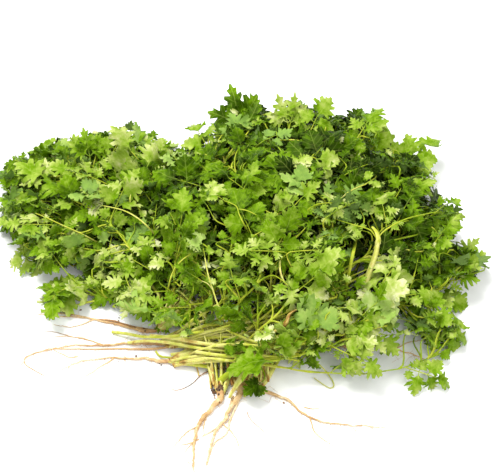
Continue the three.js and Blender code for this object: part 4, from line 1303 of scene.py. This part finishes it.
def fan_of_stems(rng, plant_name, crown, straight):
    """Slender stems from the crown into the heap, on the plant's own leafy stems in turn."""
    count, spread, shortest, longest, arch, _ = CROWNS[plant_name]
    share = np.linspace(0, 1, FAN_POINTS + 1)
    for i in range(count):
        heading = straight + rng.uniform(-spread, spread)
        foot = crown + towards(straight - 90) * rng.uniform(*FAN_SIDEWAYS)
        foot = foot + towards(straight) * rng.uniform(*FAN_ONWARD)
        reach = rng.uniform(shortest, longest)
        bend = foot + towards(straight + FAN_BEND_TURN * (heading - straight)) * FAN_BEND_AT * reach
        end = foot + towards(heading) * reach + (0, rng.uniform(*FAN_DRIFT))
        plan = spaced(bezier(foot, bend, bend, end), FAN_POINTS)
        lowest, arched = rng.uniform(*FAN_HEIGHTS), arch * rng.uniform(*ARCH_SHARES)
        lifted = lowest + arched * np.sin(share * rng.uniform(*ARCH_TURNS))
        inside = np.array([heap_top(*place) for place in plan]) * rng.uniform(*HEAP_SHARES) * share
        route = np.column_stack([plan, np.maximum(lifted, inside)])
        if not in_silhouette(route[-1]):
            continue
        radius = rng.uniform(*FAN_RADII)
        tones = np.clip(np.interp(share, *FAN_TONES) + rng.uniform(*FAN_TONE_STRAY), 0, 1)
        growth_in_turn(plant_name, i).path(route, radius * (1 - FAN_TAPER * share), tones)


def sheaths(rng, plant_name, crown, straight):
    """Pale clasping stalk feet, wide at the crown and drawn out along the stalks."""
    count = CROWNS[plant_name][-1]
    share = np.linspace(0, 1, SHEATH_POINTS + 1)
    across = towards(straight - 90)
    for i in range(count):
        side = (i / (count - 1) - 0.5) * 2
        heading = straight - SHEATH_SPREAD * side + rng.uniform(*SHEATH_TURN_STRAY)
        foot = crown - towards(straight) * rng.uniform(*SHEATH_BACK) + across * side
        length = rng.uniform(*SHEATH_LENGTHS)
        plan = [foot + across * SHEATH_APART * side * t + towards(heading) * length * t for t in share]
        arch = SHEATH_ARCH + MIDDLE_ARCH * (1 - abs(side))
        rise = SHEATH_HEIGHT + arch * np.sin(SHEATH_ARCH_TURN * share)
        tones = np.interp(share, *SHEATH_TONES) + rng.uniform(*SHEATH_TONE_STRAY)
        route = np.column_stack([plan, rise])
        growth_in_turn(plant_name, i).path(route, np.interp(share, *SHEATH_RADII), tones)


for plant_name, plant in PLANTS.items():
    for dress in (fan_of_stems, sheaths):
        dress(rng, plant_name, np.array(plant["crown"], float), plant["heading"])

for stem in stems:
    piece = grow(stem.name + "_green", growths[stem.name], STEM_INPUTS)
    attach(piece, "root")
    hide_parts(stem.name)

# ---- Roots ----
# Fine roots: whose, radii at both ends, shade, and the way as frame across, frame down, height.
FINE_ROOTS = (
    ("front_left", 0.45, 0.15, 0.6, ((199, 439, 0.6), (190, 443, 0.4), (176, 447, 0.3))),
    ("front_left", 0.4, 0.12, 0.6, ((195, 440, 0.6), (189, 447, 0.4), (183, 455, 0.3))),
    ("front_left", 0.5, 0.2, 0.7, ((214, 408, 1), (206, 418, 0.6), (203, 428, 0.5), (205, 436, 0.4))),
    ("front_middle", 0.8, 0.3, 0.8, (
        (239, 400, 1), (231, 418, 0.8), (226, 434, 0.7), (216, 442, 0.6), (210, 453, 0.5),
        (208, 466, 0.4))),
    ("front_middle", 0.8, 0.35, 0.7, (
        (233, 396, 2), (228, 412, 1), (223, 423, 0.8), (212, 431, 0.6), (202, 437, 0.5))),
    ("front_middle", 0.25, 0.1, 0.4, (
        (247, 412, 0.4), (251, 420, 0.3), (263, 431, 0.3), (272, 445, 0.2))),
    ("front_right", 0.4, 0.15, 0.5, ((304, 407, 0.5), (312, 409, 0.4), (322, 408, 0.3))),
    ("back_left", 0.9, 0.3, 0.35, (
        (150, 330, 2), (130, 326, 1), (112, 321, 0.8), (89, 318, 0.6), (61, 312, 0.4))),
    ("back_left", 0.5, 0.2, 0.6, ((89, 318, 0.6), (66, 317, 0.4), (37, 314, 0.3))),
    ("middle_left", 0.9, 0.3, 0.55, (
        (183, 345, 4), (160, 348, 2), (143, 349, 1), (96, 349, 0.7), (48, 349, 0.4))),
    ("middle_left", 0.3, 0.12, 0.3, ((94, 341, 0.6), (73, 337, 0.4), (53, 332, 0.3), (35, 332, 0.2))),
    ("middle_left", 0.5, 0.2, 0.4, (
        (49, 349, 0.5), (29, 355, 0.4), (24, 361, 0.4), (30, 368, 0.3), (45, 376, 0.3))),
    ("near_left", 0.5, 0.2, 0.6, ((78, 356, 0.5), (69, 357, 0.4), (54, 350, 0.3))),
    ("near_left", 0.5, 0.25, 0.15, (
        (232, 370, 3), (215, 369, 1.5), (200, 376, 0.8), (192, 384, 0.5), (181, 390, 0.4),
        (172, 390, 0.3))),
)
# The taproot's radius along its way, from inside the crown to its tip.
ROOT_AT = (0, 0.07, 0.14, 0.3, 0.6, 1)
FRONT_ROOT = (1.3, 2.5, 2.3, 1.6, 1.0, 0.35)
SIDE_ROOT = (1.0, 1.7, 1.4, 0.9, 0.55, 0.22)
SIDE_ROOTED = ("back_left", "middle_left", "near_left", "front_right", "right")
ROOT_POINTS, IN_CROWN, ROOT_WAVER = 46, 6, 0.3
WAVER_KEPT, WAVERS_FROM = 0.75, 4  # what the next shift keeps of one, and the first full one's step
RINGS, REST_SHARE, REST_OVER = (0.9, 1.12), 0.9, 0.4
ROOT_TONES, TIP_LIGHTER, RING_TONE_STRAY = (0.42, 0.58), 0.25, 0.07
SIDE_STEPS, SIDE_HEIGHT, SIDE_RADII, SIDE_TONE = 20, 0.6, (0.5, 0.12), 0.65
FINE_STEPS_A_POINT, FINE_WAVER = 6, 0.12
# A hair: degrees and millimetres to its bends, and its heights and radii.
HAIRS, HAIRS_FROM, HAIR_BENDS, HAIR_CURL, HAIR_REACH = 22, 6, ((0, 2), (25, 5)), 40, 9
HAIR_SIZES, HAIR_FOOT_HEIGHT, HAIR_HEIGHTS = (0.5, 1.4), 0.6, (0.4, 0.25, 0.15)
HAIR_RADII, HAIR_TONE = (0.14, 0.11, 0.09, 0.05), 0.5
# Soil: loose crumbs along a root, and more in the lump at its crown.
CRUMBS_A_ROOT, SOIL_LUMP, LUMP_AT, LUMP_CRUMB = 10, {"front_left": 70, "right": 14}, 4, 1.4
CRUMB_SPREAD, CRUMB_STRAYS, CRUMB_SIZES, CRUMB_TONES = 12, (2.6, 2.0), (0.5, 1.9), (0.0, 0.16)
ON_ROOT, ON_ROOT_HEIGHTS, ON_TABLE_HEIGHT, CRUMB_TILT = 2.2, (0.8, 2.2), 0.3, 0.1


def waver(rng, points, amount):
    """Smooth random shifts for a path's points, none at its first one."""
    shifts, shift = [], np.zeros(2)
    for i in range(len(points)):
        shifts.append(shift * min(1, i / WAVERS_FROM))
        shift = WAVER_KEPT * shift + np.array((rng.gauss(0, amount), rng.gauss(0, amount)))
    points[:, :2] += shifts


def add_hair(rng, growth, path):
    """A root hair that leaves the path anywhere and lies on the table."""
    start = path[rng.randrange(HAIRS_FROM, len(path) - 1)]
    heading = rng.uniform(0, 360)
    bends = (*HAIR_BENDS, (rng.gauss(0, HAIR_CURL), HAIR_REACH))
    ends = [start[:2] + towards(heading + bend) * reach for bend, reach in bends]
    size = rng.uniform(*HAIR_SIZES)
    hair = [start[:2] + (end - start[:2]) * size for end in ends]
    heights = [start[2] * HAIR_FOOT_HEIGHT, *HAIR_HEIGHTS]
    growth.path(np.column_stack([[start[:2], *hair], heights]), HAIR_RADII, HAIR_TONE)


def add_crumb(rng, growth, path, lump):
    """A crumb of soil on or beside the path; one that is part of the lump lies near the crown."""
    place = path[LUMP_AT if lump else min(len(path) - 1, int(abs(rng.gauss(0, CRUMB_SPREAD))))]
    beside = np.array([rng.gauss(0, stray) for stray in CRUMB_STRAYS])
    size = rng.uniform(*CRUMB_SIZES) * (LUMP_CRUMB if lump else 1)
    near = math.hypot(*beside) < ON_ROOT
    height = place[2] + rng.uniform(*ON_ROOT_HEIGHTS) if near else ON_TABLE_HEIGHT * size
    turned = Vector((rng.gauss(0, 1), rng.gauss(0, 1), CRUMB_TILT)).normalized()
    kind, tone = rng.randrange(CRUMBS), rng.uniform(*CRUMB_TONES)
    growth.shape((*(place[:2] + beside), height), turned, Vector((0, 0, 1)), size, kind, tone)


def grow_root(rng, name, plant):
    """A taproot with its side root, fine roots, hairs, and soil about the crown."""
    growth = Growth()
    crown, onward = np.array(plant["crown"], float), towards(plant["heading"])
    corners = [crown + onward * IN_CROWN, crown, crown - onward * NECK, *plant["root"]]
    route = spaced(flowing(corners), ROOT_POINTS)
    t = np.linspace(0, 1, len(route))
    radii = np.interp(t, ROOT_AT, SIDE_ROOT if name in SIDE_ROOTED else FRONT_ROOT)
    rings = np.array([rng.uniform(*RINGS) for _ in t])
    path = np.column_stack([route, REST_SHARE * radii + REST_OVER])
    waver(rng, path, ROOT_WAVER)
    tone = rng.uniform(*ROOT_TONES)
    strays = np.array([rng.gauss(0, RING_TONE_STRAY) for _ in t])
    growth.path(path, radii * rings, np.clip(tone + TIP_LIGHTER * t + strays, 0, 1))
    side = spaced(flowing(plant["rootlet"]), SIDE_STEPS)
    side = np.column_stack([side, np.full(len(side), SIDE_HEIGHT)])
    waver(rng, side, ROOT_WAVER)
    growth.path(side, np.linspace(*SIDE_RADII, len(side)), SIDE_TONE)
    for owner, foot_r, tip_r, shade, way in FINE_ROOTS:
        if owner == name:
            thread = spaced(flowing([at_height(*place) for place in way]), FINE_STEPS_A_POINT * len(way))
            waver(rng, thread, FINE_WAVER)
            growth.path(thread, np.linspace(foot_r, tip_r, len(thread)), shade)
    for _ in range(HAIRS):
        add_hair(rng, growth, path)
    for i in range(CRUMBS_A_ROOT + SOIL_LUMP.get(name, 0)):
        add_crumb(rng, growth, path, i >= CRUMBS_A_ROOT)
    return growth


for name, plant in PLANTS.items():
    piece = grow(name + "_root_skin", grow_root(rng, name, plant), ROOT_INPUTS)
    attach(piece, "root")
    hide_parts(name + "_root")

# ---- Floor, light and camera ----
TARGET = (Vector((AIM_X, AIM_Y, 0.0)) - MIDDLE) * MM
FLOOR_CORNERS = [(-4, -4, 0), (4, -4, 0), (4, 4, 0), (-4, 4, 0)]
FLOOR_COLOUR, FLOOR_ROUGHNESS = (0.92, 0.92, 0.92, 1.0), 0.7
LAMPS = {"key": ((-0.4, 0.35, 1.25), 0.7, 24.0), "fill": ((0.6, -0.8, 1.2), 1.2, 12.0)}
SKY_COLOUR, SKY_STRENGTH = (1, 1, 1, 1), 0.7
floor_mesh = bpy.data.meshes.new("floor")
floor_mesh.from_pydata(FLOOR_CORNERS, [], [(0, 1, 2, 3)])
floor = bpy.data.objects.new("floor", floor_mesh)
bpy.context.scene.collection.objects.link(floor)
table = Finish("table_top")
floor_mesh.materials.append(table.skin(FLOOR_COLOUR, FLOOR_ROUGHNESS))


def lamp(name, place, size, power):
    """A square lamp aimed at the bunch; its place and size are in metres and its power in watts."""
    light = bpy.data.lights.new(name, "AREA")
    light.size, light.energy = size, power
    made = bpy.data.objects.new(name, light)
    made.location = place
    made.rotation_euler = (TARGET - Vector(place)).to_track_quat("-Z", "Y").to_euler()
    bpy.context.scene.collection.objects.link(made)


for name, settings in LAMPS.items():
    lamp(name, *settings)
world = bpy.data.worlds.new("studio")
world.use_nodes = True
sky = world.node_tree.nodes["Background"].inputs
sky["Color"].default_value = SKY_COLOUR
sky["Strength"].default_value = SKY_STRENGTH
bpy.context.scene.world = world
bpy.context.scene.view_settings.view_transform = "Standard"

lens = bpy.data.cameras.new("view")
lens.lens, lens.sensor_width, lens.sensor_fit = LENS, SENSOR, "HORIZONTAL"
camera = bpy.data.objects.new("view", lens)
camera.location = TARGET + Vector((0, -COS_E, SIN_E)) * DISTANCE * MM
camera.rotation_euler = (math.radians(90 - ELEVATION), 0, 0)
bpy.context.scene.collection.objects.link(camera)
bpy.context.scene.camera = camera
